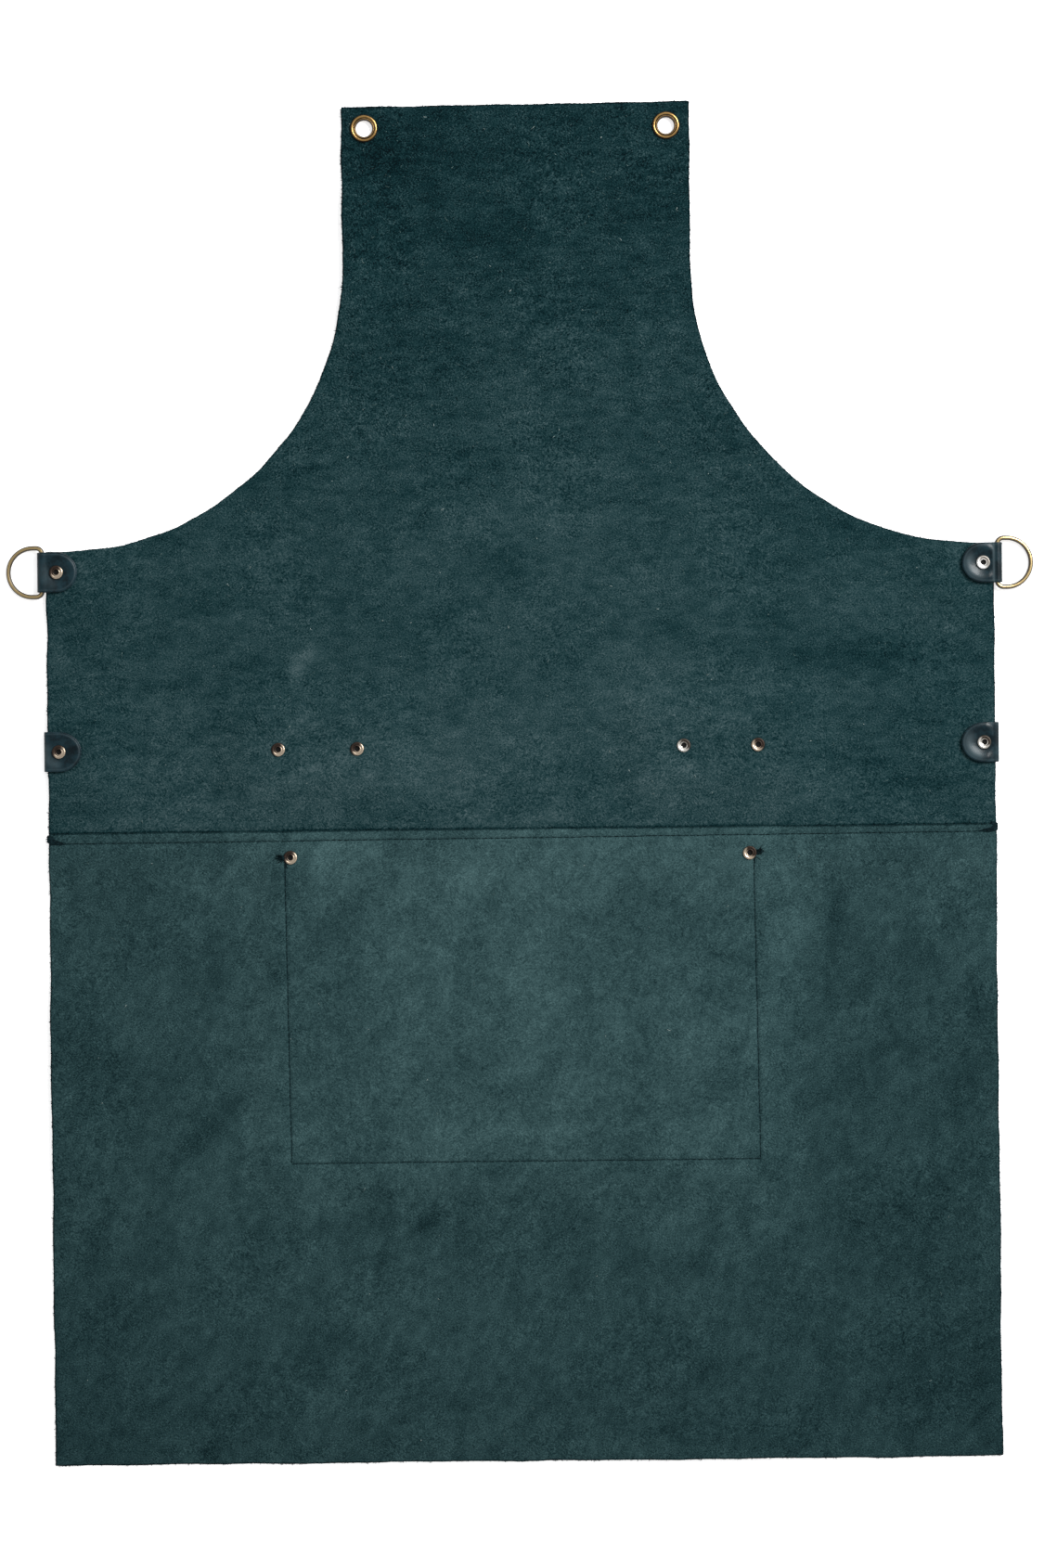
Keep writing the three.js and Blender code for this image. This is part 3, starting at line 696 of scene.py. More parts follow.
SKIRT_PATCHES = [
    (-36, -57, 22, 14, 0, 13),
    (-20, -115, 70, 60, 0, 5.5),
    (100, -85, 35, 25, 0, -4),
    (-112, -47, 30, 10, 0, 4),
    (96, -47, 40, 10, 0, 4),
    (174, -95, 12, 45, 0, 4),
    (225, -130, 60, 60, 0, -2.5),
    (72, -115, 10, 75, 0, -6),
    (-101, -140, 2.5, 65, 0, 4),
    (103, -140, 2.5, 65, 0, 5),
    (270, -62, 40, 24, 0, 3),
    (-178, -62, 28, 22, 0, 4),
    (96, -76, 25, 6, -30, -4),
    (128, -110, 24, 8, -30, -9),
    (198, -85, 8, 45, 0, -11),
    (246, -85, 5, 30, 0, -7),
    (-132, -100, 30, 10, 40, -8),
    (-272, -182, 25, 30, 0, -6),
    (-287, -66, 14, 40, 0, -4),
    (-195, -212, 32, 7, 45, -10),
    (-40, -182, 15, 8, 0, -3),
    (0, -221, 130, 6, 1, 7),
    (154, -216, 12, 6, 0, -5),
    (212, -197, 18, 14, 30, -5),
    (278, -192, 14, 20, 0, -6),
    (290, -153, 10, 25, 0, -6),
    (-64, -279, 10, 5, 45, -28),
    (-98, -279, 30, 6, 5, -4),
    (-20, -245, 10, 5, 0, -7),
    (9, -270, 14, 8, 0, -5),
    (-171, -250, 15, 6, 20, -4),
    (-142, -313, 20, 5, 10, -3),
    (251, -289, 45, 28, 0, -8),
    (86, -308, 40, 8, 0, -3),
    (108, -282, 62, 34, 0, 5),
    (-60, -335, 130, 45, 0, 4),
    (4, -347, 6, 25, 30, -4),
    (-202, -422, 5, 5, 0, -20),
    (225, -140, 2.5, 40, -38, 5),
    (244, -165, 2, 30, -42, 4),
    (-215, -250, 55, 42, 0, 5),
    (215, -210, 95, 45, 0, -4.5),
    (230, -368, 85, 62, 0, -4.5),
    (277, -55, 36, 22, 0, 6),
    (174, -52, 20, 14, 0, 6),
    (-137, -135, 24, 50, 0, -4.5),
    (-8, -134, 42, 22, 0, 3.5),
    (-105, -290, 22, 14, 0, 3.5),
    (-291, -325, 22, 26, 0, 6),
    (-14, -386, 26, 32, 0, -4.5),
    (116, -408, 42, 20, 0, -4),
    (-208, -95, 26, 18, 0, 4.5),
    (18, -56, 18, 12, 0, -4),
]
STITCH_Y = -35
STITCH_TILT = 0.0035
POCKET_SEAM_HALF = 148.6
POCKET_SEAM_XS = [POCKET_MIDDLE_X + side * POCKET_SEAM_HALF for side in SIDES.values()]
POCKET_SEAM_Y = -240
POCKET_LEAN = -0.0126
POCKET_ASIDE = -0.6


def stitch_line(x):
    """The height of the waist seam's stitches, which run a little askew."""
    return STITCH_Y + STITCH_TILT * x


def pocket_shift(y):
    """How far the pocket lies to the right at a height, as its sides lean a little."""
    return POCKET_ASIDE + POCKET_LEAN * (y - POCKET_RIVET_Y)


def to_pocket_seam(x, y):
    """The distance to the pocket's three-sided line of stitches."""
    outside = np.abs(x - POCKET_MIDDLE_X - pocket_shift(y)) - POCKET_SEAM_HALF
    beside = np.hypot(outside, np.maximum(np.maximum(y - POCKET_RIVET_Y, POCKET_SEAM_Y - y), 0))
    under = np.hypot(y - POCKET_SEAM_Y, np.maximum(outside, 0))
    return np.minimum(beside, under)


def patch_tone(patches, x, y):
    """The sum of soft ellipses: each falls off as e to the minus square of the distance in half sizes."""
    middle_x, middle_y, half_x, half_y, tilt, change = np.array(patches).T
    turn = np.radians(tilt)
    across, along = x[..., None] - middle_x, y[..., None] - middle_y
    u = (across * np.cos(turn) + along * np.sin(turn)) / half_x
    v = (along * np.cos(turn) - across * np.sin(turn)) / half_y
    return (change * np.exp(-(u**2) - v**2)).sum(-1)


def bib_tone(x, y):
    """Screen levels of the bib: light at the waist, falling to the neck and a little to the sides, with a
    painted shadow along the skirt's top edge.
    """
    tone = BASE_TONE - 8 * step(60, 260, y) - 11.5 * step(230, 380, y)
    # A painted shadow: a dark band on the bib just above the skirt's top edge.
    tone = tone - 34 * step(SKIRT_TOP_Y + 1.2, SKIRT_TOP_Y + 0.7, y)
    return tone - 4 * (x / SIDE_X) ** 2 + patch_tone(BIB_PATCHES, x, y)


def skirt_tone(x, y):
    """Screen levels of the skirt: light over the pocket and under the seam, falling to the lower corners,
    with painted shade along the stitch lines.
    """
    over_pocket = step(230, 130, np.abs(x)) * step(-290, -235, y)
    under_seam = step(-140, -40, y)
    low = step(-240, -430, y)
    tone = BASE_TONE + 10.5 * over_pocket + 4 * under_seam - low - 9 * low * (x / SIDE_X) ** 2
    # Painted shade in the valleys that the seam's and the pocket's stitches pull into the skirt.
    tone = tone - 6 * step(1.3, 0.2, np.minimum(np.abs(y - stitch_line(x)), to_pocket_seam(x, y)))
    return tone + patch_tone(SKIRT_PATCHES, x, y)


print("patches:", len(BIB_PATCHES) + len(SKIRT_PATCHES))

# %% [markdown]
# ## The bib
# The bib narrows in two round armholes to the neck. A grid follows it: its columns fan out to the sides,
# and its rows end on the outline at even steps, so that the armholes come out smooth. An eyelet's hole is
# a block of cells that was drawn out to a circle and left open.

# %% Bib
EDGE_BULGE = 0.35
BIB_COLUMNS = 150
RIM_SHARE, INNER_SHARE = 0.995, 0.988
SHOULDER_STEPS, ARM_STEPS = 5, 95
GROMMET_HOLE = 6.4
HOLE_ROWS, HOLE_COLUMNS = 2, 4
HOLE_REACH = 2.1
NECK_SKEW = 0.007
GROOVE_HALF = 1.6


def bib_edge():
    """The right-hand outline from the seam to the neck: side, shoulder, quarter-round armhole, neck."""
    side = lines(BIB_BOTTOM_Y, SHOULDER_Y, 3, STITCH_Y, SKIRT_TOP_Y + 0.6)
    shoulder = np.linspace(SIDE_X, NECK_X + ARMHOLE, SHOULDER_STEPS)[1:-1]
    turn = np.linspace(-np.pi / 2, -np.pi, ARM_STEPS)
    neck = lines(SHOULDER_Y + ARMHOLE, NECK_Y, 3)[1:]
    arm_x = NECK_X + ARMHOLE * (1 + np.cos(turn))
    arm_y = SHOULDER_Y + ARMHOLE * (1 + np.sin(turn))
    x = np.concatenate([np.full(len(side), SIDE_X), shoulder, arm_x, np.full(len(neck), NECK_X)])
    y = np.concatenate([side, np.full(len(shoulder), SHOULDER_Y), arm_y, neck])
    return x, y


def fray(places, seed):
    """How far a cut edge strays from its line, in millimetres: slow waves and a little fast unevenness."""
    slow = waves(places, places, [70, 110, 46], seed)
    fast = waves(places, places, [5.3, 7.9, 11, 3.7], seed + 1)
    return 0.5 * slow + 0.22 * fast


def bib_grid():
    """Rows from one side's outline to the other: their height goes from a middle line to the outline with
    the square of the share across, so that rows meet the shoulder from below."""
    edge_x, edge_y = bib_edge()
    length = np.concatenate([[0], np.cumsum(np.hypot(np.diff(edge_x), np.diff(edge_y)))])
    middle_y = BIB_BOTTOM_Y + (NECK_Y - BIB_BOTTOM_Y) * length / length[-1]
    even = np.linspace(-INNER_SHARE, INNER_SHARE, BIB_COLUMNS - 4)
    across = np.concatenate([[-1, -RIM_SHARE], even, [RIM_SHARE, 1]])
    x = edge_x[:, None] * across
    y = middle_y[:, None] + (edge_y - middle_y)[:, None] * across**2
    outward = unit(np.stack([np.gradient(edge_y), -np.gradient(edge_x)], -1))
    for side, seed in ((1, 5), (-1, 11)):
        stray = np.where(side * across > 0, np.abs(across) ** 30, 0) * fray(length, seed)[:, None]
        x = x + side * outward[:, :1] * stray
        y = y + outward[:, 1:] * stray
    y = y + fray(x, 21) * step(NECK_Y - 6, NECK_Y, y) + NECK_SKEW * x * step(NECK_Y - 25, NECK_Y, y)
    beside = (1 - np.abs(across)) * edge_x[:, None]
    under_neck = NECK_Y + NECK_SKEW * x - y
    inset = np.minimum(beside, np.minimum(under_neck, y - BIB_BOTTOM_Y))
    return x, y, np.maximum(inset, 0)


def open_hole(x, y, centre):
    """Draws a block of cells around a centre out to a circle; the change fades over the cells around it."""
    row, column = np.unravel_index(np.argmin(np.hypot(x - centre[0], y - centre[1])), x.shape)
    rows, columns = np.indices(x.shape)
    share = np.maximum(np.abs(rows - row) / HOLE_ROWS, np.abs(columns - column) / HOLE_COLUMNS)
    across, along = x - centre[0], y - centre[1]
    length = np.maximum(np.hypot(across, along), 1e-6)
    near = step(HOLE_REACH, 1, share)
    target = GROMMET_HOLE * share / length
    x = x + near * across * (target - 1)
    y = y + near * along * (target - 1)
    return x, y, (row - HOLE_ROWS, row + HOLE_ROWS, column - HOLE_COLUMNS, column + HOLE_COLUMNS)


def groove(distance, depth):
    """A sewn line's valley: full depth at the line and nothing at its half width."""
    return depth * step(GROOVE_HALF, 0, distance)


bib_x, bib_y, bib_inset = bib_grid()
bib_holes = []
for side in SIDES.values():
    bib_x, bib_y, block = open_hole(bib_x, bib_y, (side * GROMMET_X, GROMMET_Y))
    bib_holes.append(block)


def bib_low(x, y):
    """The bib's underside: its rests, and a slight waviness where nothing lies on it or under it."""
    loose = step(-10, 40, y) * step(0.4, 0.0, lift(BIB_RESTS, x, y) / STRIP_TOP)
    return lift(BIB_RESTS, x, y) + 0.35 * loose * (1 + waves(x, y, [120, 90, 150], 31))


bib_base = bib_low(bib_x, bib_y)
bib_sewn = groove(np.abs(bib_y - stitch_line(bib_x)), 0.3)
bib_shape = slab(
    np.stack([bib_x, bib_y, bib_base + HIDE], -1),
    np.stack([bib_x, bib_y, bib_base + bib_sewn], -1),
    EDGE_BULGE,
    bib_holes,
)
bib_marks = {
    "tone": bib_tone(bib_x, bib_y),
    "edge": bib_inset,
    "coarse": 1.38 + 0.32 * step(120, 260, bib_y),
    "worn": np.zeros_like(bib_x),
}
bib = put_slab("bib_leather", bib_shape, [bib_suede, bib_suede, front_leather], bib_marks)

# %% [markdown]
# ## The skirt and the pocket
# Both are rectangles, so their grids are plain lines across and along, closer together where a row of
# stitches pulls a small valley into the leather. The skirt lies over the bib's edge and over the pocket.

# %% Skirt and pocket
PANEL_SPACING = 4
FRAY_REACH = 5
SIDE_FRAY_SHIFT = 900
END_FRAY_SHIFT = 700


def skirt_low(x, y):
    """The skirt's underside: its rests and the pocket's lifted corners, and slight waves where it is free."""
    rests = lift(SKIRT_RESTS, x, y)
    loose = step(0.4, 0.0, rests / (HIDE + GAP))
    return rests + lift(POCKET_RESTS, x, y) + 0.4 * loose * (1 + waves(x, y, [130, 95, 160, 75], 41))


def sewn_top(x, y):
    """The valleys that the seam's and the pocket's stitches pull into the skirt's rough side."""
    return np.maximum(groove(np.abs(y - stitch_line(x)), 0.35), groove(to_pocket_seam(x, y), 0.3))


def panel(name, middle, half_x, low_y, high_y, low_of, sewn_above, sewn_below, seed, dense_y):
    """A rectangular panel: lines across and along, with straying edges, over the heights that it lies on."""
    columns = lines(middle - half_x, middle + half_x, PANEL_SPACING, *POCKET_SEAM_XS)
    rows = lines(low_y, high_y, PANEL_SPACING, *dense_y)
    x, y = np.meshgrid(columns, rows)
    aside, hand = np.abs(x - middle), np.sign(x - middle)
    inset = np.minimum(half_x - aside, np.minimum(high_y - y, y - low_y))
    upper = np.sign(y - (low_y + high_y) / 2)
    near_side = step(half_x - FRAY_REACH, half_x, aside)
    near_top, near_bottom = step(high_y - FRAY_REACH, high_y, y), step(low_y + FRAY_REACH, low_y, y)
    x_edge = hand * near_side * fray(y + hand * SIDE_FRAY_SHIFT, seed)
    y_edge = (0.4 * near_top - near_bottom) * fray(x + upper * END_FRAY_SHIFT, seed)
    leaning = pocket_shift(y) * step(SIDE_X - 10, POCKET_HALF + 8, aside)
    x, y = x + x_edge + leaning, y + y_edge
    base = low_of(x, y)
    top = np.stack([x, y, base + HIDE - sewn_above(x, y)], -1)
    shape = slab(top, np.stack([x, y, base + sewn_below(x, y)], -1), EDGE_BULGE)
    coarse = 1.22 - 0.12 * step(170, 130, np.abs(x)) * step(-270, -230, y)
    marks = {"tone": skirt_tone(x, y), "edge": inset, "coarse": coarse, "worn": np.zeros_like(x)}
    return put_slab(name, shape, [skirt_suede, skirt_suede, front_leather], marks), shape


def unsewn(x, y):
    """No valley, for the side of a panel that no stitch pulls in."""
    return np.zeros_like(x)


skirt, skirt_shape = panel(
    "skirt_leather", 0, SIDE_X, HEM_Y, SKIRT_TOP_Y, skirt_low, sewn_top, unsewn, 51, (POCKET_SEAM_Y, STITCH_Y)
)
pocket, _ = panel(
    "pocket_leather",
    POCKET_MIDDLE_X,
    POCKET_HALF,
    POCKET_BOTTOM_Y,
    POCKET_TOP_Y,
    lambda x, y: lift(POCKET_RESTS, x, y),
    unsewn,
    lambda x, y: groove(to_pocket_seam(x, y), 0.3),
    61,
    (POCKET_SEAM_Y,),
)

# %% [markdown]
# ## Tabs and loops
# A tab is a short strip with round ends, folded round the apron's side and riveted through both flaps.
# The rivet pulls the flap down, so its rim stands up around it like a shallow dish. The strip's middle
# line is worked out first, and the leather's two faces lie half its thickness to either side.

# %% Tab path
STRIP_HALF = 12.7
ROUND_TURN = np.radians(86)
SIDE_MIDDLE_Z = STRIP_TOP + HIDE / 2
FLAP_LEVEL = HIDE / 2 + GAP + STRIP / 2
RING_BAR_X = 302.5
RING_FOLD = 2.6
RING_RIVET_REACH = 9
EDGE_RIVET_REACH = 7
STRIP_BULGE = 0.45
FLAP_HALF = STRIP_HALF - STRIP_BULGE
RING_TIP = 13.0
EDGE_TIP = 14.0
TIP_STEPS, FLAP_STEPS, FOLD_STEPS, WIDTH_STEPS = 22, 14, 15, 33
# The direction, on a flap, of the swell that gets a painted highlight
SWELL_HIGHLIGHT_WAY = np.array([-0.87, -0.5])


def flap_rows(rivet_reach, tip):
    """Distances of rows from the fold to the tip and the half width there: straight, then half an ellipse
    about the rivet, as long as the tip says."""
    turn = np.linspace(0, ROUND_TURN, TIP_STEPS)
    straight = np.linspace(0, rivet_reach, FLAP_STEPS)[:-1]
    reach = np.concatenate([straight, rivet_reach + tip * np.sin(turn)])
    width = np.concatenate([np.full(len(straight), FLAP_HALF), FLAP_HALF * np.cos(turn)])
    return reach, width


def folded_path(fold, rivet_reach, tip):
    """The middle line from the upper tip round the fold to the lower tip: flaps that swell to the fold's
    radius as a bell curve, joined by half a circle. Gives distance inwards, height and half width."""
    reach, width = flap_rows(rivet_reach, tip)
    rise = FLAP_LEVEL + (fold - FLAP_LEVEL) * np.exp(-((reach / 2.2) ** 2))
    turn = np.linspace(np.pi / 2, 3 * np.pi / 2, FOLD_STEPS)[1:-1]
    inwards = np.concatenate([reach[::-1], fold * np.cos(turn), reach])
    height = np.concatenate([rise[::-1], fold * np.sin(turn), -rise])
    return inwards, height, np.concatenate([width[::-1], np.full(len(turn), FLAP_HALF), width])


def folded_tab(name, side, bar_x, y, fold, rivet_reach, tip, curl, ridge_highlight, swell_highlight):
    """The strip over its path: each flap is dished at its rivet, curls up around that and bends down at
    its rim.

    A mark on the mesh makes a pale crease along the rim, a painted highlight along the fold as strong as
    its argument for the ridge says, and a painted highlight on the swell that faces the light.
    """
    inwards, height, width = folded_path(fold, rivet_reach, tip)
    tangent = unit(np.stack([np.gradient(inwards), np.gradient(height)], -1))
    normal = np.stack([tangent[:, 1], -tangent[:, 0]], -1)
    across = np.linspace(-1, 1, WIDTH_STEPS)
    across = np.sign(across) * (1 - (1 - np.abs(across)) ** 1.3)
    w = width[:, None] * across
    past_rivet = np.where(inwards > rivet_reach, FLAP_HALF / tip, 1) * (inwards - rivet_reach)
    from_rivet = np.hypot(past_rivet[:, None], w)
    on_flap = step(0.5, 6, inwards)[:, None] * np.sign(height)[:, None]
    swell = curl * step(4.3, 10, from_rivet) - 0.35 * curl * step(10.5, FLAP_HALF, from_rivet)
    dish = on_flap * (swell - 0.12 * step(7, 3.8, from_rivet))

    def face(offset):
        """One face of the leather, at an offset from its middle line."""
        u = inwards + offset * normal[:, 0]
        h = (height + offset * normal[:, 1])[:, None] + dish
        x = np.broadcast_to(side * (bar_x - u)[:, None], w.shape)
        return np.stack([x, y - side * w, SIDE_MIDDLE_Z + h], -1)

    shape = slab(face(STRIP / 2), face(-STRIP / 2), STRIP_BULGE)
    beside = (1 - np.abs(across)) * width[:, None]
    to_edge = np.where((inwards > rivet_reach)[:, None], FLAP_HALF - from_rivet, beside)
    crease = 0.24 * np.exp(-(((to_edge - 0.9) / 0.4) ** 2)) - 0.3 * step(0.6, 0.0, to_edge)
    # A painted highlight along the ridge over the fold.
    fold_highlight = ridge_highlight * np.exp(-(((inwards[:, None] - 2.2) / 0.7) ** 2))
    from_rivet_x = np.broadcast_to(side * (rivet_reach - inwards)[:, None], w.shape)
    # A painted highlight on the part of the swell that faces the lamp.
    towards = unit(np.stack([from_rivet_x, -side * w], -1)) @ SWELL_HIGHLIGHT_WAY
    ring = np.exp(-(((from_rivet - 8.5) / 3.0) ** 2))
    rub_and_highlight = crease + fold_highlight + swell_highlight * ring * step(0.1, 0.9, towards)
    return put_slab(name, shape, [strip_leather] * 3, {"worn": rub_and_highlight})


tabs = {}
for name, side in SIDES.items():
    tabs["ring_tab_" + name] = folded_tab(
        "ring_strap_" + name,
        side,
        RING_BAR_X,
        RING_TAB_Y,
        RING_FOLD,
        RING_RIVET_REACH,
        RING_TIP,
        curl=1.2,
        ridge_highlight=0.35 + 0.25 * side,
        swell_highlight=0.36 + 0.16 * side,
    )
    tabs["edge_tab_" + name] = folded_tab(
        "edge_strap_" + name,
        side,
        SIDE_X,
        WAIST_ROW_Y,
        FLAP_LEVEL,
        EDGE_RIVET_REACH,
        EDGE_TIP,
        curl=1.1,
        ridge_highlight=0.0,
        swell_highlight=0.46 + 0.08 * side,
    )

# %% [markdown]
# A tool loop is the same strip left flat, with two round ends, on the hidden front.

# %% Loops
LOOP_TIP_STEPS, LOOP_STEPS, LOOP_WIDTH_STEPS = 20, 24, 25


def tool_loop(name, middle, half_span):
    """A flat strip whose half width follows a circle beyond each rivet."""
    turn = np.linspace(0, ROUND_TURN, LOOP_TIP_STEPS)
    end = half_span + STRIP_HALF * np.sin(turn)
    straight = np.linspace(-half_span, half_span, LOOP_STEPS)[1:-1]
    along = np.concatenate([-end[::-1], straight, end])
    width = STRIP_HALF * np.concatenate([np.cos(turn)[::-1], np.ones(len(straight)), np.cos(turn)])
    across = np.linspace(-1, 1, LOOP_WIDTH_STEPS)
    w = width[:, None] * across
    x = np.broadcast_to(middle + along[:, None], w.shape)
    from_rivet = np.hypot(np.abs(along[:, None]) - half_span, w)
    sag = 0.15 * step(5, 12, from_rivet)
    level = CAP_TOP - sag
    grids = [np.stack([x, WAIST_ROW_Y - w, level + rise], -1) for rise in (STRIP, 0)]
    shape = slab(*grids, STRIP_BULGE)
    to_edge = (1 - np.abs(across)) * width[:, None]
    return put_slab(name, shape, [strip_leather] * 3, {"worn": 0.5 * step(0.9, 0.1, to_edge)})


loops = {}
for name, side in SIDES.items():
    loops["tool_loop_" + name] = tool_loop("loop_strap_" + name, side * LOOP_XS[name], LOOP_HALF_SPANS[name])

# %% [markdown]
# ## The D-rings
# A D-ring is one round wire: a straight bar inside the tab, two tight corners and a half-round bow that
# rests on the floor. It is a tube along that closed path, tipped about the bar.

# %% D-rings
WIRE = 1.5
BOW = 15.5
RING_DEPTH = 21.8
RING_CORNER = 4
WIRE_SIDES = 20
BAR_STEPS, CORNER_STEPS, BOW_STEPS = 16, 14, 72


def arc(centre_x, centre_y, radius, start, end, count):
    """Points on a circle between two angles in degrees, without the last."""
    turn = np.radians(np.linspace(start, end, count, endpoint=False))
    return np.stack([centre_x + radius * np.cos(turn), centre_y + radius * np.sin(turn)], -1)


def ring_path():
    """Once round the D: bar, corner, bow, corner, in the plane of the ring with the bar on the Y axis."""
    bar_end = BOW - RING_CORNER
    bow_x = BOW - RING_DEPTH
    bar_y = np.linspace(-bar_end, bar_end, BAR_STEPS, endpoint=False)
    bar = np.stack([np.zeros(BAR_STEPS), bar_y], -1)
    turns = (
        bar,
        arc(-RING_CORNER, bar_end, RING_CORNER, 0, 90, CORNER_STEPS),
        np.array([[-RING_CORNER, BOW]]),
        arc(bow_x, 0, BOW, 90, 270, BOW_STEPS),
        np.array([[bow_x, -BOW]]),
        arc(-RING_CORNER, -bar_end, RING_CORNER, 270, 360, CORNER_STEPS),
    )
    flat = np.concatenate(turns)
    return np.concatenate([flat, np.zeros((len(flat), 1))], -1)


def d_ring(name, side):
    """The wire along the ring's path, tipped until its far side touches the floor."""
    path = ring_path()
    points, faces = tubes(path[None], WIRE, WIRE_SIDES, (0, 0, 1), closed=True)
    # The top and bottom of the wire are painted gold as a highlight, and its sides stay dark as painted
    # shade.
    crest = np.tile(np.abs(np.sin(np.linspace(0, 2 * np.pi, WIRE_SIDES, endpoint=False))), len(path))
    drop = math.asin((SIDE_MIDDLE_Z - WIRE) / RING_DEPTH)
    x = points[:, 0] * math.cos(drop) - points[:, 2] * math.sin(drop)
    z = points[:, 0] * math.sin(drop) + points[:, 2] * math.cos(drop)
    points = np.stack([side * (RING_BAR_X - x), RING_TAB_Y - side * points[:, 1], SIDE_MIDDLE_Z + z], -1)
    return put_mesh(name, points, faces, [ring_brass], marks={"worn": step(0.8, 1.04, crest)})


rings = {"d_ring_" + name: d_ring("ring_wire_" + name, side) for name, side in SIDES.items()}

# %% [markdown]
# ## The eyelets
# An eyelet is a washer and a barrel that is rolled over it. On the rough side both rolls are rubbed to
# gold on their crests and stay brown in between. The profile is a closed loop, so the eyelet stays open
# in the middle.

# %% Eyelets
EYELET_SIDES = 64
WASHER_CREST, BARREL_CREST = 7.5, 6.05
EYELET_PROFILE = np.array([
    [5.5, 0.0], [8.1, 0.0], [8.45, 0.35], [8.3, 0.7], [6.0, 0.75], [5.95, 1.8], [6.0, 2.9], [8.6, 2.9],
    [8.85, 3.1], [8.7, 3.55], [8.25, 4.1], [7.7, 4.4], [7.15, 4.3], [6.85, 3.9], [6.6, 3.85], [6.35, 4.2],
    [5.95, 4.25], [5.65, 3.8], [5.4, 3.2], [5.2, 2.4], [5.15, 1.6], [5.2, 0.5],
])


def eyelet(name, side):
    """The turned profile; what is near the crest, and the lip of the barrel, is rubbed."""
    profile = rounded(EYELET_PROFILE, 2, closed=True)
    points, faces = turned(profile, EYELET_SIDES, (side * GROMMET_X, GROMMET_Y, 0), closed=True)
    radius, level = profile.T
    on_washer = step(0.85, 0.2, np.abs(radius - WASHER_CREST))
    on_barrel = step(0.5, 0.15, np.abs(radius - BARREL_CREST))
    rolls = on_washer + 0.45 * on_barrel
    rub_and_highlight = rolls * step(3.2, 3.9, level) + 0.8 * step(1.2, 0.2, level)
    return put_mesh(name, points, faces, [eyelet_brass], marks={"worn": np.repeat(rub_and_highlight, EYELET_SIDES)})


eyelets = {"grommet_" + name: eyelet("eyelet_" + name, side) for name, side in SIDES.items()}

# %% [markdown]
# ## The rivets
# These are tubular rivets: a smooth cap on the front, and on the rough side a dished collar with a small
# rolled lip around a blind hole. The stack of leather decides how high the collar sits.

# %% Rivets
RIVET_SIDES = 40
COLLAR_CREST, LIP_CREST, HOLE_RADIUS = 3.4, 2.05, 1.74
RIVET_CAP = [[0, 0], [2.4, 0.02], [3.7, 0.16], [4.5, 0.55], [4.6, 0.9], [4.3, 1.0], [1.9, 1.0], [1.9, 1.05]]
RIVET_COLLAR = [
    [1.9, -0.05], [1.95, 0], [4.15, 0.0], [4.34, 0.15], [4.3, 0.42], [4.05, 0.74], [3.6, 0.9], [3.15, 0.86],
    [2.75, 0.68], [2.5, 0.66], [2.3, 0.85], [2.05, 0.95], [1.8, 0.86], [1.66, 0.55], [1.6, 0.2], [1.55, -0.1],
    [0.9, -0.15], [0, -0.15],
]
CAP_RUBBED, POST_DARK, HOLE_DARK = 0.75, -0.6, -0.8
RIVET_STACKS = {"tab": HIDE + 2 * STRIP + 2 * GAP, "loop": HIDE + STRIP + GAP, "pocket": 2 * HIDE + GAP}


def rivet(name, place, stack, finish, highlight_turn, lip):
    """Cap, post and collar turned in one.

    Crests are brightened by wear. The side that a turn in degrees points to gets a painted highlight and the
    far side painted shade; the hollows keep their patina, the hole is painted near-black shade, and lip says
    how bright wear makes the small inner roll.
    """
    seat = CAP_TOP + stack + GAP
    collar = np.array(RIVET_COLLAR) + (0, seat)
    profile = rounded(np.concatenate([RIVET_CAP, collar]), 2)
    points, faces = turned(profile, RIVET_SIDES, (*place, 0))
    radius, level = profile[1:-1].T
    on_collar = step(0.95, 0.3, np.abs(radius - COLLAR_CREST))
    on_lip = step(0.42, 0.1, np.abs(radius - LIP_CREST))
    crest = 0.38 * on_collar + lip * on_lip
    around_axis = np.linspace(0, 2 * np.pi, RIVET_SIDES, endpoint=False)
    # Painted highlight on the side the turn points to, painted shade on the far side.
    painted_light_side = np.cos(around_axis - np.radians(highlight_turn))
    marks = crest[:, None] + 0.7 * painted_light_side * step(1.7, 2.2, radius)[:, None] + 0.08
    below = level < seat - 0.02
    cap_marks = CAP_RUBBED - 0.95 * step(2.4, 4.4, radius)
    marks[below] = np.where(level < CAP_TOP, cap_marks, POST_DARK)[below, None]
    # The blind hole is painted near-black as shade.
    marks[(radius < HOLE_RADIUS) & (level > CAP_TOP)] = HOLE_DARK
    worn = np.concatenate([marks.ravel(), [CAP_RUBBED, HOLE_DARK]])
    return put_mesh(name, points, faces, [finish], marks={"worn": worn})


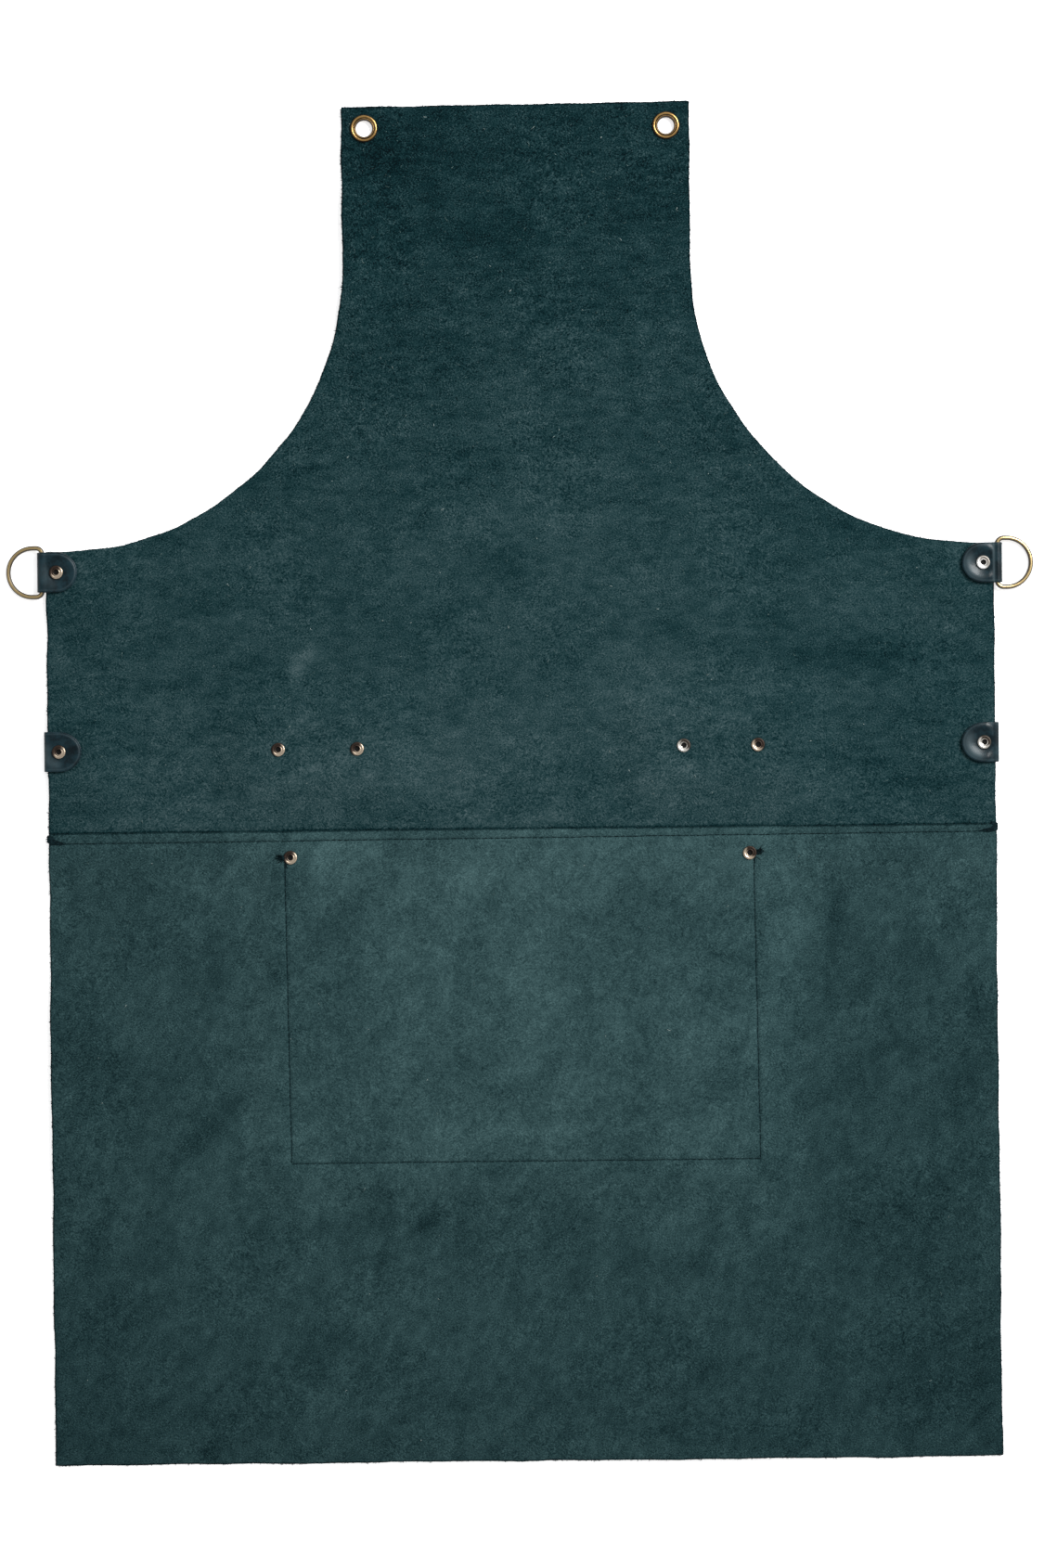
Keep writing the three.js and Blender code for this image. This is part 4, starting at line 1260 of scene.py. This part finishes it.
RIVET_METALS = {("ring_tab", "right"): silver, ("edge_tab", "right"): pewter, ("loop_inner", "right"): pewter}
rivets = {}
for name, side in SIDES.items():
    spots = {
        "ring_tab": (RING_BAR_X - RING_RIVET_REACH, RING_TAB_Y, "tab"),
        "edge_tab": (SIDE_X - EDGE_RIVET_REACH, WAIST_ROW_Y, "tab"),
        "loop_inner": (LOOP_XS[name] - LOOP_HALF_SPANS[name], WAIST_ROW_Y, "loop"),
        "loop_outer": (LOOP_XS[name] + LOOP_HALF_SPANS[name], WAIST_ROW_Y, "loop"),
        "pocket": (POCKET_RIVET_X + side * POCKET_MIDDLE_X, POCKET_RIVET_Y, "pocket"),
    }
    for use, (x, y, stack) in spots.items():
        metal = RIVET_METALS.get((use, name), rivet_metal)
        lip = 0.3 if metal is rivet_metal else 0.7
        rivets[f"rivet_{use}_{name}"] = rivet(
            f"stud_{use}_{name}", (side * x, y), RIVET_STACKS[stack], metal, -90 - 45 * side, lip
        )

# %% [markdown]
# ## Stitches
# A sewing machine leaves a row of short thread arches, each rising from one hole and going down the next.
# All the stitches of a row are one array of paths, so the whole row is made in a single call of the tube
# function.

# %% Stitches
STITCH_PITCH = 4.0
STITCH_REACH = 3.75
THREAD = 0.27
THREAD_SIDES = 6
WANDER = 0.25
SEAM_END_X = 297
BACK_LEVEL = 0.28


def row_of_stitches(start, end):
    """The middles of evenly spaced stitches from start to end, and their direction."""
    start, end = np.array(start, float), np.array(end, float)
    length = np.linalg.norm(end - start)
    count = round(length / STITCH_PITCH)
    share = (np.arange(count) + 0.5) / count
    return start + share[:, None] * (end - start), np.tile((end - start) / length, (count, 1))


def stitches(name, rows, level_of, rise):
    """Arches of thread: each runs its reach along the row, as high as the root of half a sine wave."""
    middles = np.concatenate([middle for middle, _ in rows])
    ways = np.concatenate([way for _, way in rows])
    share = np.linspace(0, 1, 7)
    aside = np.stack([-ways[:, 1], ways[:, 0]], -1)
    middles = middles + aside * (WANDER * waves(middles[:, 0], middles[:, 1], [19, 27, 43], 101))[:, None]
    middles = middles + ways * (WANDER * waves(middles[:, 0], middles[:, 1], [7, 11, 13], 103))[:, None]
    flat = middles[:, None] + ways[:, None] * ((share - 0.5) * STITCH_REACH)[:, None]
    arch = rise * (np.sqrt(np.sin(np.pi * share)) * 0.5 - 0.3)
    level = level_of(flat[..., 0], flat[..., 1]) + arch
    radii = THREAD * (0.75 + 0.25 * np.sin(np.pi * share))
    points, faces = tubes(np.concatenate([flat, level[..., None]], -1), radii, THREAD_SIDES, (0, 0, 1))
    return put_mesh(name, points, faces, [thread])


def skirt_top(x, y):
    """The height of the skirt's rough side."""
    return skirt_low(x, y) + HIDE - sewn_top(x, y)


seam_ends = [(x, stitch_line(x)) for x in (-SEAM_END_X, SEAM_END_X)]
seam_row = [row_of_stitches(*seam_ends)]
seam_heights = (POCKET_RIVET_Y - 3, POCKET_SEAM_Y)
left_top, left_low = [(POCKET_SEAM_XS[0] + pocket_shift(y), y) for y in seam_heights]
right_top, right_low = [(POCKET_SEAM_XS[1] + pocket_shift(y), y) for y in seam_heights]
pocket_rows = [
    row_of_stitches(left_top, left_low),
    row_of_stitches(left_low, right_low),
    row_of_stitches(right_low, right_top),
]
seam_stitches = stitches("seam_stitches", seam_row, skirt_top, 0.5)
pocket_stitches = stitches("pocket_stitches", pocket_rows, skirt_top, 0.45)
seam_backs = stitches("seam_stitches_front", seam_row, lambda x, y: bib_low(x, y) + BACK_LEVEL, -0.2)
pocket_backs = stitches(
    "pocket_stitches_front", pocket_rows, lambda x, y: lift(POCKET_RESTS, x, y) + BACK_LEVEL, -0.2
)

# %% [markdown]
# ## Loose thread ends
# Where the pocket's rows end beside its rivets, a tuft of thread sticks out. At both ends of the waist
# seam the thread was sewn back and forth over the side edge, which leaves a dark knot and some stubs. All
# of these are bundles of strands on Bezier curves, so each end is three arrays of points: where the
# strands start, bend and end.

# %% Thread ends
END_SHARE = np.linspace(0, 1, 9)[:, None]
TUFT_STRANDS, TUFT_CURLS, TUFT_LEADS = 34, 20, 5
KNOT_STRANDS = 16
KNOT_SPANS = ((-0.4, 6.0), (0, 6.4), (0, 5.5))
STUB_HEIGHTS = np.array([0.9, 1.6, 3.3, 4.0])


def jitter(draw, size, count, shares=(1, 1, 0)):
    """Random shifts of a size, times a share for each axis."""
    return draw.normal(0, size, (count, 3)) * shares


def spread(x, y, z):
    """Points from an x, a y and a z, each one number or a row of numbers."""
    return np.stack(np.broadcast_arrays(x, y, z), -1)


def strands(start, control, end, thick, thin):
    """Tapering tubes on curves (1-t)² start + 2t(1-t) control + t² end."""
    start, control, end = start[:, None], control[:, None], end[:, None]
    paths = (1 - END_SHARE) ** 2 * start + 2 * END_SHARE * (1 - END_SHARE) * control + END_SHARE**2 * end
    return tubes(paths, thick + (thin - thick) * END_SHARE[:, 0], THREAD_SIDES, (0.1, 0.1, 1))


def joined(*shapes):
    """Several sets of points and faces as one."""
    starts = np.cumsum([0] + [len(points) for points, _ in shapes])
    faces = [[corner + shift for corner in face] for (_, some), shift in zip(shapes, starts) for face in some]
    return np.concatenate([points for points, _ in shapes]), faces


def thread_tuft(name, side, tilt, seed):
    """A frayed bundle that leaves the stitches beside a pocket rivet and fans out around a tilt."""
    draw = np.random.default_rng(seed)
    x, y = POCKET_MIDDLE_X + side * (POCKET_SEAM_HALF - 0.6), POCKET_RIVET_Y + 0.2
    level = skirt_top(np.array([x]), np.array([y]))[0]
    start = np.array([x, y, level + 0.3]) + jitter(draw, 0.55, TUFT_STRANDS, (1, 1, 0.3))
    fan = np.radians(tilt + draw.normal(0, 15, TUFT_STRANDS))
    length = draw.uniform(3.5, 7.2, TUFT_STRANDS)[:, None]
    way = spread(side * np.cos(fan), np.sin(fan), 0)
    control = start + 0.55 * length * way + jitter(draw, 0.45, TUFT_STRANDS) + (0, 0, 0.9)
    end = start + length * way + jitter(draw, 0.7, TUFT_STRANDS) + (0, 0, 0.1)
    curls = start[:TUFT_CURLS] + way[:TUFT_CURLS] * draw.uniform(0.5, 4.2, (TUFT_CURLS, 1))
    curl_bend = curls + jitter(draw, 1.2, TUFT_CURLS, (1, 0.8, 0)) + (0, 0, 1.0)
    curl_end = curls + jitter(draw, 0.9, TUFT_CURLS, (1, 0.8, 0))
    lead = np.array([x + side * 0.6, y - 2.5, level]) + jitter(draw, 0.25, TUFT_LEADS, (1, 1, 0.2))
    lead_end = lead + jitter(draw, 0.3, TUFT_LEADS) - (0, 4, 0)
    points, faces = joined(
        strands(start, control, end, 0.26, 0.12),
        strands(curls, curl_bend, curl_end, 0.26, 0.16),
        strands(lead, lead + (0, -2, 0.5), lead_end, 0.28, 0.22),
    )
    return put_mesh(name, points, faces, [thread])


def seam_end(name, side, inward, stub, seed):
    """A knot over the side edge: strands from the seam round the edge, some on top that reach inward, and
    stubs that stand out of the edge."""
    draw = np.random.default_rng(seed)
    line = stitch_line(side * SIDE_X)
    top = skirt_top(np.array([side * (SIDE_X - 2.0)]), np.array([line]))[0]

    def across_edge(low, high):
        """Random places across the side, from low to high past its edge."""
        return side * draw.uniform(SIDE_X + low, SIDE_X + high, KNOT_STRANDS)

    wrap_y = [line + draw.uniform(low, high, KNOT_STRANDS) for low, high in KNOT_SPANS]
    wrap_start = spread(across_edge(-3.5, -1.5), wrap_y[0], top + 0.25)
    wrap_bend = spread(side * (SIDE_X + 2.6), wrap_y[1], top + 0.6)
    wrap_end = spread(side * (SIDE_X + 0.4), wrap_y[2], 0.6)
    lying_start = spread(across_edge(-inward, -4), line + draw.uniform(-0.3, 0.7, KNOT_STRANDS), top + 0.1)
    lying_end = spread(across_edge(-3, 0), line + draw.uniform(0, 3.4, KNOT_STRANDS), top + 0.2)
    lying_bend = (lying_start + lying_end) / 2 + jitter(draw, 0.4, KNOT_STRANDS) + (0, 0, 0.6)
    stub_start = spread(side * (SIDE_X - 0.2), line + STUB_HEIGHTS, top - 0.6)
    stub_out = side * stub * draw.uniform(0.7, 1.1, len(STUB_HEIGHTS))
    stub_end = stub_start + spread(stub_out, draw.normal(0, 0.5, len(STUB_HEIGHTS)), -0.3)
    stub_bend = (stub_start + stub_end) / 2 + (0, 0.3, 0.3)
    points, faces = joined(
        strands(wrap_start, wrap_bend, wrap_end, 0.42, 0.42),
        strands(lying_start, lying_bend, lying_end, 0.4, 0.34),
        strands(stub_start, stub_bend, stub_end, 0.34, 0.2),
    )
    return put_mesh(name, points, faces, [thread])


ends = [
    thread_tuft("pocket_thread_left", -1, -6, 70),
    thread_tuft("pocket_thread_right", 1, 12, 72),
    seam_end("seam_end_left", -1, 9, 2.6, 80),
    seam_end("seam_end_right", 1, 11, 0.7, 82),
]

# %% [markdown]
# ## Fibres
# A knife leaves the cut edge of suede furry: small nubs of short fibres stand out from it, close
# together. Paler and darker lint lies on the nap, most of all on the upper bib. Each fibre is a
# three-sided needle that bends.

# %% Fibres
NEEDLE_SHARE = np.array([0, 0.5, 1.0])
FIBRES_PER_NUB = 5
RING_CLEAR_X = 284
RING_CLEAR_Y = 24

# Where lint lies: the lowest and the highest y, and the largest x to either side
BIB_SPAN = (-25, 425, 290)
SKIRT_SPAN = (-425, -40, 295)


def needles(name, roots, ways, bends, lengths, radii, finish):
    """Bent tapering needles from their roots: root + length (t way + t² bend)."""
    share = NEEDLE_SHARE[:, None]
    paths = roots[:, None] + lengths[:, None, None] * (share * ways[:, None] + share**2 * bends[:, None])
    points, faces = tubes(paths, radii[:, None] * (1 - 0.75 * NEEDLE_SHARE), 3, (0.3, 0.2, 1))
    points[:, 2] = np.maximum(points[:, 2], 0.02)
    return put_mesh(name, points, faces, [finish])


def edge_fibres(name, shape, nubs_per_mm, seed, keep):
    """Nubs spread along a rim: each is a few fibres from nearly the same place, with a lean and a length
    of their own; most are short."""
    draw = np.random.default_rng(seed)
    rim, outward = shape["rim"], shape["outward"]
    length = np.linalg.norm(np.roll(rim, -1, 0) - rim, axis=1)
    nubs = int(length.sum() * nubs_per_mm)
    nub = np.repeat(np.arange(nubs), FIBRES_PER_NUB)
    count = len(nub)
    spot = draw.uniform(0, length.sum(), nubs)[nub] + draw.normal(0, 0.22, count)
    spot = spot % length.sum()
    passed = np.cumsum(length)
    at = np.searchsorted(passed, spot).clip(0, len(rim) - 1)
    share = (1 - (passed[at] - spot) / length[at])[:, None]
    after = (at + 1) % len(rim)
    roots = rim[at] * (1 - share) + rim[after] * share
    ways = unit(outward[at] * (1 - share) + outward[after] * share)
    rise = (draw.uniform(-0.6, 0.75, nubs)[nub] + draw.normal(0, 0.12, count))[:, None]
    roots = roots - 0.4 * ways + rise * (0, 0, 1)
    chosen = keep(roots[:, 0], roots[:, 1])
    lean = (draw.normal(0, 0.4, (nubs, 3))[nub] + draw.normal(0, 0.3, (count, 3))) * (1, 1, 0.5)
    bends = jitter(draw, 0.3, count, (1, 1, 0.4))
    lengths = (0.55 + draw.gamma(1.2, 0.26, nubs))[nub] * draw.uniform(0.6, 1.1, count)
    radii = draw.uniform(0.09, 0.15, count)
    ways = unit(ways + lean)
    return needles(name, roots[chosen], ways[chosen], bends[chosen], lengths[chosen], radii[chosen], fibre)


def lint_fibres(name, count, seed, top_of, span, density, thick, finish):
    """Short bent fibres lying on the nap, where density says how likely one stays."""
    draw = np.random.default_rng(seed)
    low, high, half_width = span
    x = draw.uniform(-1, 1, count) * half_width
    y = draw.uniform(low, high, count)
    stay = draw.uniform(0, 1, count) < density(x, y)
    x, y = x[stay], y[stay]
    count = len(x)
    turn = draw.uniform(0, 2 * np.pi, count)
    roots = np.stack([x, y, top_of(x, y) + 0.06], -1)
    ways = np.stack([np.cos(turn), np.sin(turn), draw.uniform(0, 0.12, count)], -1)
    bends = np.stack([-np.sin(turn), np.cos(turn), np.zeros(count)], -1) * draw.normal(0, 0.5, (count, 1))
    lengths = 0.45 + draw.gamma(1.2, 0.5, count)
    return needles(name, roots, ways, bends, lengths, np.full(count, thick), finish)


def inside_bib(x, y):
    """True well inside the bib's outline."""
    from_arm = np.hypot(np.abs(x) - NECK_X - ARMHOLE, np.minimum(y - SHOULDER_Y - ARMHOLE, 0))
    below = (y < SHOULDER_Y - 3) & (np.abs(x) < SIDE_X - 30)
    above = (y >= SHOULDER_Y - 3) & (from_arm > ARMHOLE + 4) & (np.abs(x) < NECK_X + ARMHOLE - 2)
    return below | above


def clear_of_rings(x, y):
    """True where the bib's edge lies bare: above the seam, and away from where a ring swings past."""
    return (y > SKIRT_TOP_Y + 2) & ((np.abs(x) < RING_CLEAR_X) | (np.abs(y - RING_TAB_Y) > RING_CLEAR_Y))


def all_round(x, y):
    """True everywhere: the skirt's edge is bare all round."""
    return np.isfinite(x + y)


bib_fur = edge_fibres("bib_edge_fibres", bib_shape, 0.85, 91, clear_of_rings)
skirt_fur = edge_fibres("skirt_edge_fibres", skirt_shape, 0.7, 92, all_round)


def bib_top(x, y):
    """The height of the bib's rough side."""
    return bib_low(x, y) + HIDE


def more_at_neck(x, y):
    """How likely a fibre stays on the bib: certain at the neck, seldom at the waist."""
    return inside_bib(x, y) * (0.25 + 0.75 * step(60, 280, y))


def only_at_neck(x, y):
    """How likely a dark fibre stays on the bib: hardly ever below the armholes."""
    return inside_bib(x, y) * (0.04 + 0.96 * step(120, 300, y))


def even_on_bib(x, y):
    """How likely a pale speck stays on the bib: the same everywhere."""
    return inside_bib(x, y) * 0.7


def more_at_seam(x, y):
    """How likely a fibre stays on the skirt: more under the seam than at the hem."""
    return 0.25 + 0.5 * step(-250, -60, y)


bib_lint = lint_fibres("bib_lint", 1900, 93, bib_top, BIB_SPAN, more_at_neck, 0.16, lint)
bib_dark_lint = lint_fibres("bib_dark_lint", 1500, 95, bib_top, BIB_SPAN, only_at_neck, 0.26, dark_lint)
bib_specks = lint_fibres("bib_specks", 260, 97, bib_top, BIB_SPAN, even_on_bib, 0.3, speck)
skirt_specks = lint_fibres("skirt_specks", 90, 98, skirt_top, SKIRT_SPAN, more_at_seam, 0.28, speck)
skirt_lint = lint_fibres("skirt_lint", 380, 94, skirt_top, SKIRT_SPAN, more_at_seam, 0.15, lint)

# %% [markdown]
# ## The floor
# A plain pale floor catches the thin shadows. It is a light table, which glows a little from below and so
# keeps the shadows faint. It belongs to the stage and not to the apron.

# %% Floor
FLOOR_HALF = 6000
FLOOR_DROP = 0.02
FLOOR_LINES = 9
FLOOR_COLOUR = (0.88, 0.88, 0.885, 1)
FLOOR_GLOW = 0.55

floor_finish = Finish("floor_white", Specular_IOR_Level=0.1)
floor_finish.shader.inputs["Base Color"].default_value = FLOOR_COLOUR
floor_finish.shader.inputs["Roughness"].default_value = 0.9
floor_finish.shader.inputs["Emission Color"].default_value = (1, 1, 1, 1)
floor_finish.shader.inputs["Emission Strength"].default_value = FLOOR_GLOW
floor_line = np.linspace(-FLOOR_HALF, FLOOR_HALF, FLOOR_LINES)
floor_points = spread(*np.meshgrid(floor_line, floor_line), -FLOOR_DROP)
floor = put_mesh("floor", floor_points, grid_quads(FLOOR_LINES, FLOOR_LINES), [floor_finish.material])

# %% [markdown]
# ## What stands for what
# Each piece takes the place of its solid and rides on the solid's body. The two rings move on their own;
# all else belongs to the apron.

# %% Bodies
def dress(piece, slot, body="apron", *nodes):
    """The piece rides on a body and stands for its solids; slot is not used."""
    if nodes:
        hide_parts(*nodes)
    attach(piece, body)


for piece, node in ((bib, "bib_panel"), (skirt, "skirt_panel"), (pocket, "front_pocket")):
    dress(piece, "suede", "apron", node)
for node, piece in {**tabs, **loops}.items():
    dress(piece, "strip_leather", "apron", node)
for node, piece in rings.items():
    dress(piece, "antique_brass", node.replace("d_ring", "ring"), node)
for node, piece in eyelets.items():
    dress(piece, "antique_brass", "apron", node)
for node, piece in rivets.items():
    dress(piece, "rivet_metal", "apron", node)
sewing = [seam_stitches, pocket_stitches, seam_backs, pocket_backs, *ends]
for piece in sewing + [bib_fur, skirt_fur, bib_lint, bib_dark_lint, bib_specks, skirt_lint, skirt_specks]:
    dress(piece, "suede")

# %% [markdown]
# ## Sheets
# The flat sizes of the tab cuts: width and length.

# %% Sheets
RING_TAB_CUT = (0.0254, 0.0525)
EDGE_TAB_CUT = (0.0254, 0.0475)

for node, piece in tabs.items():
    RING_TAB_CUT if "ring" in node else EDGE_TAB_CUT
print("sheets:", 3 + len(tabs) + len(loops))
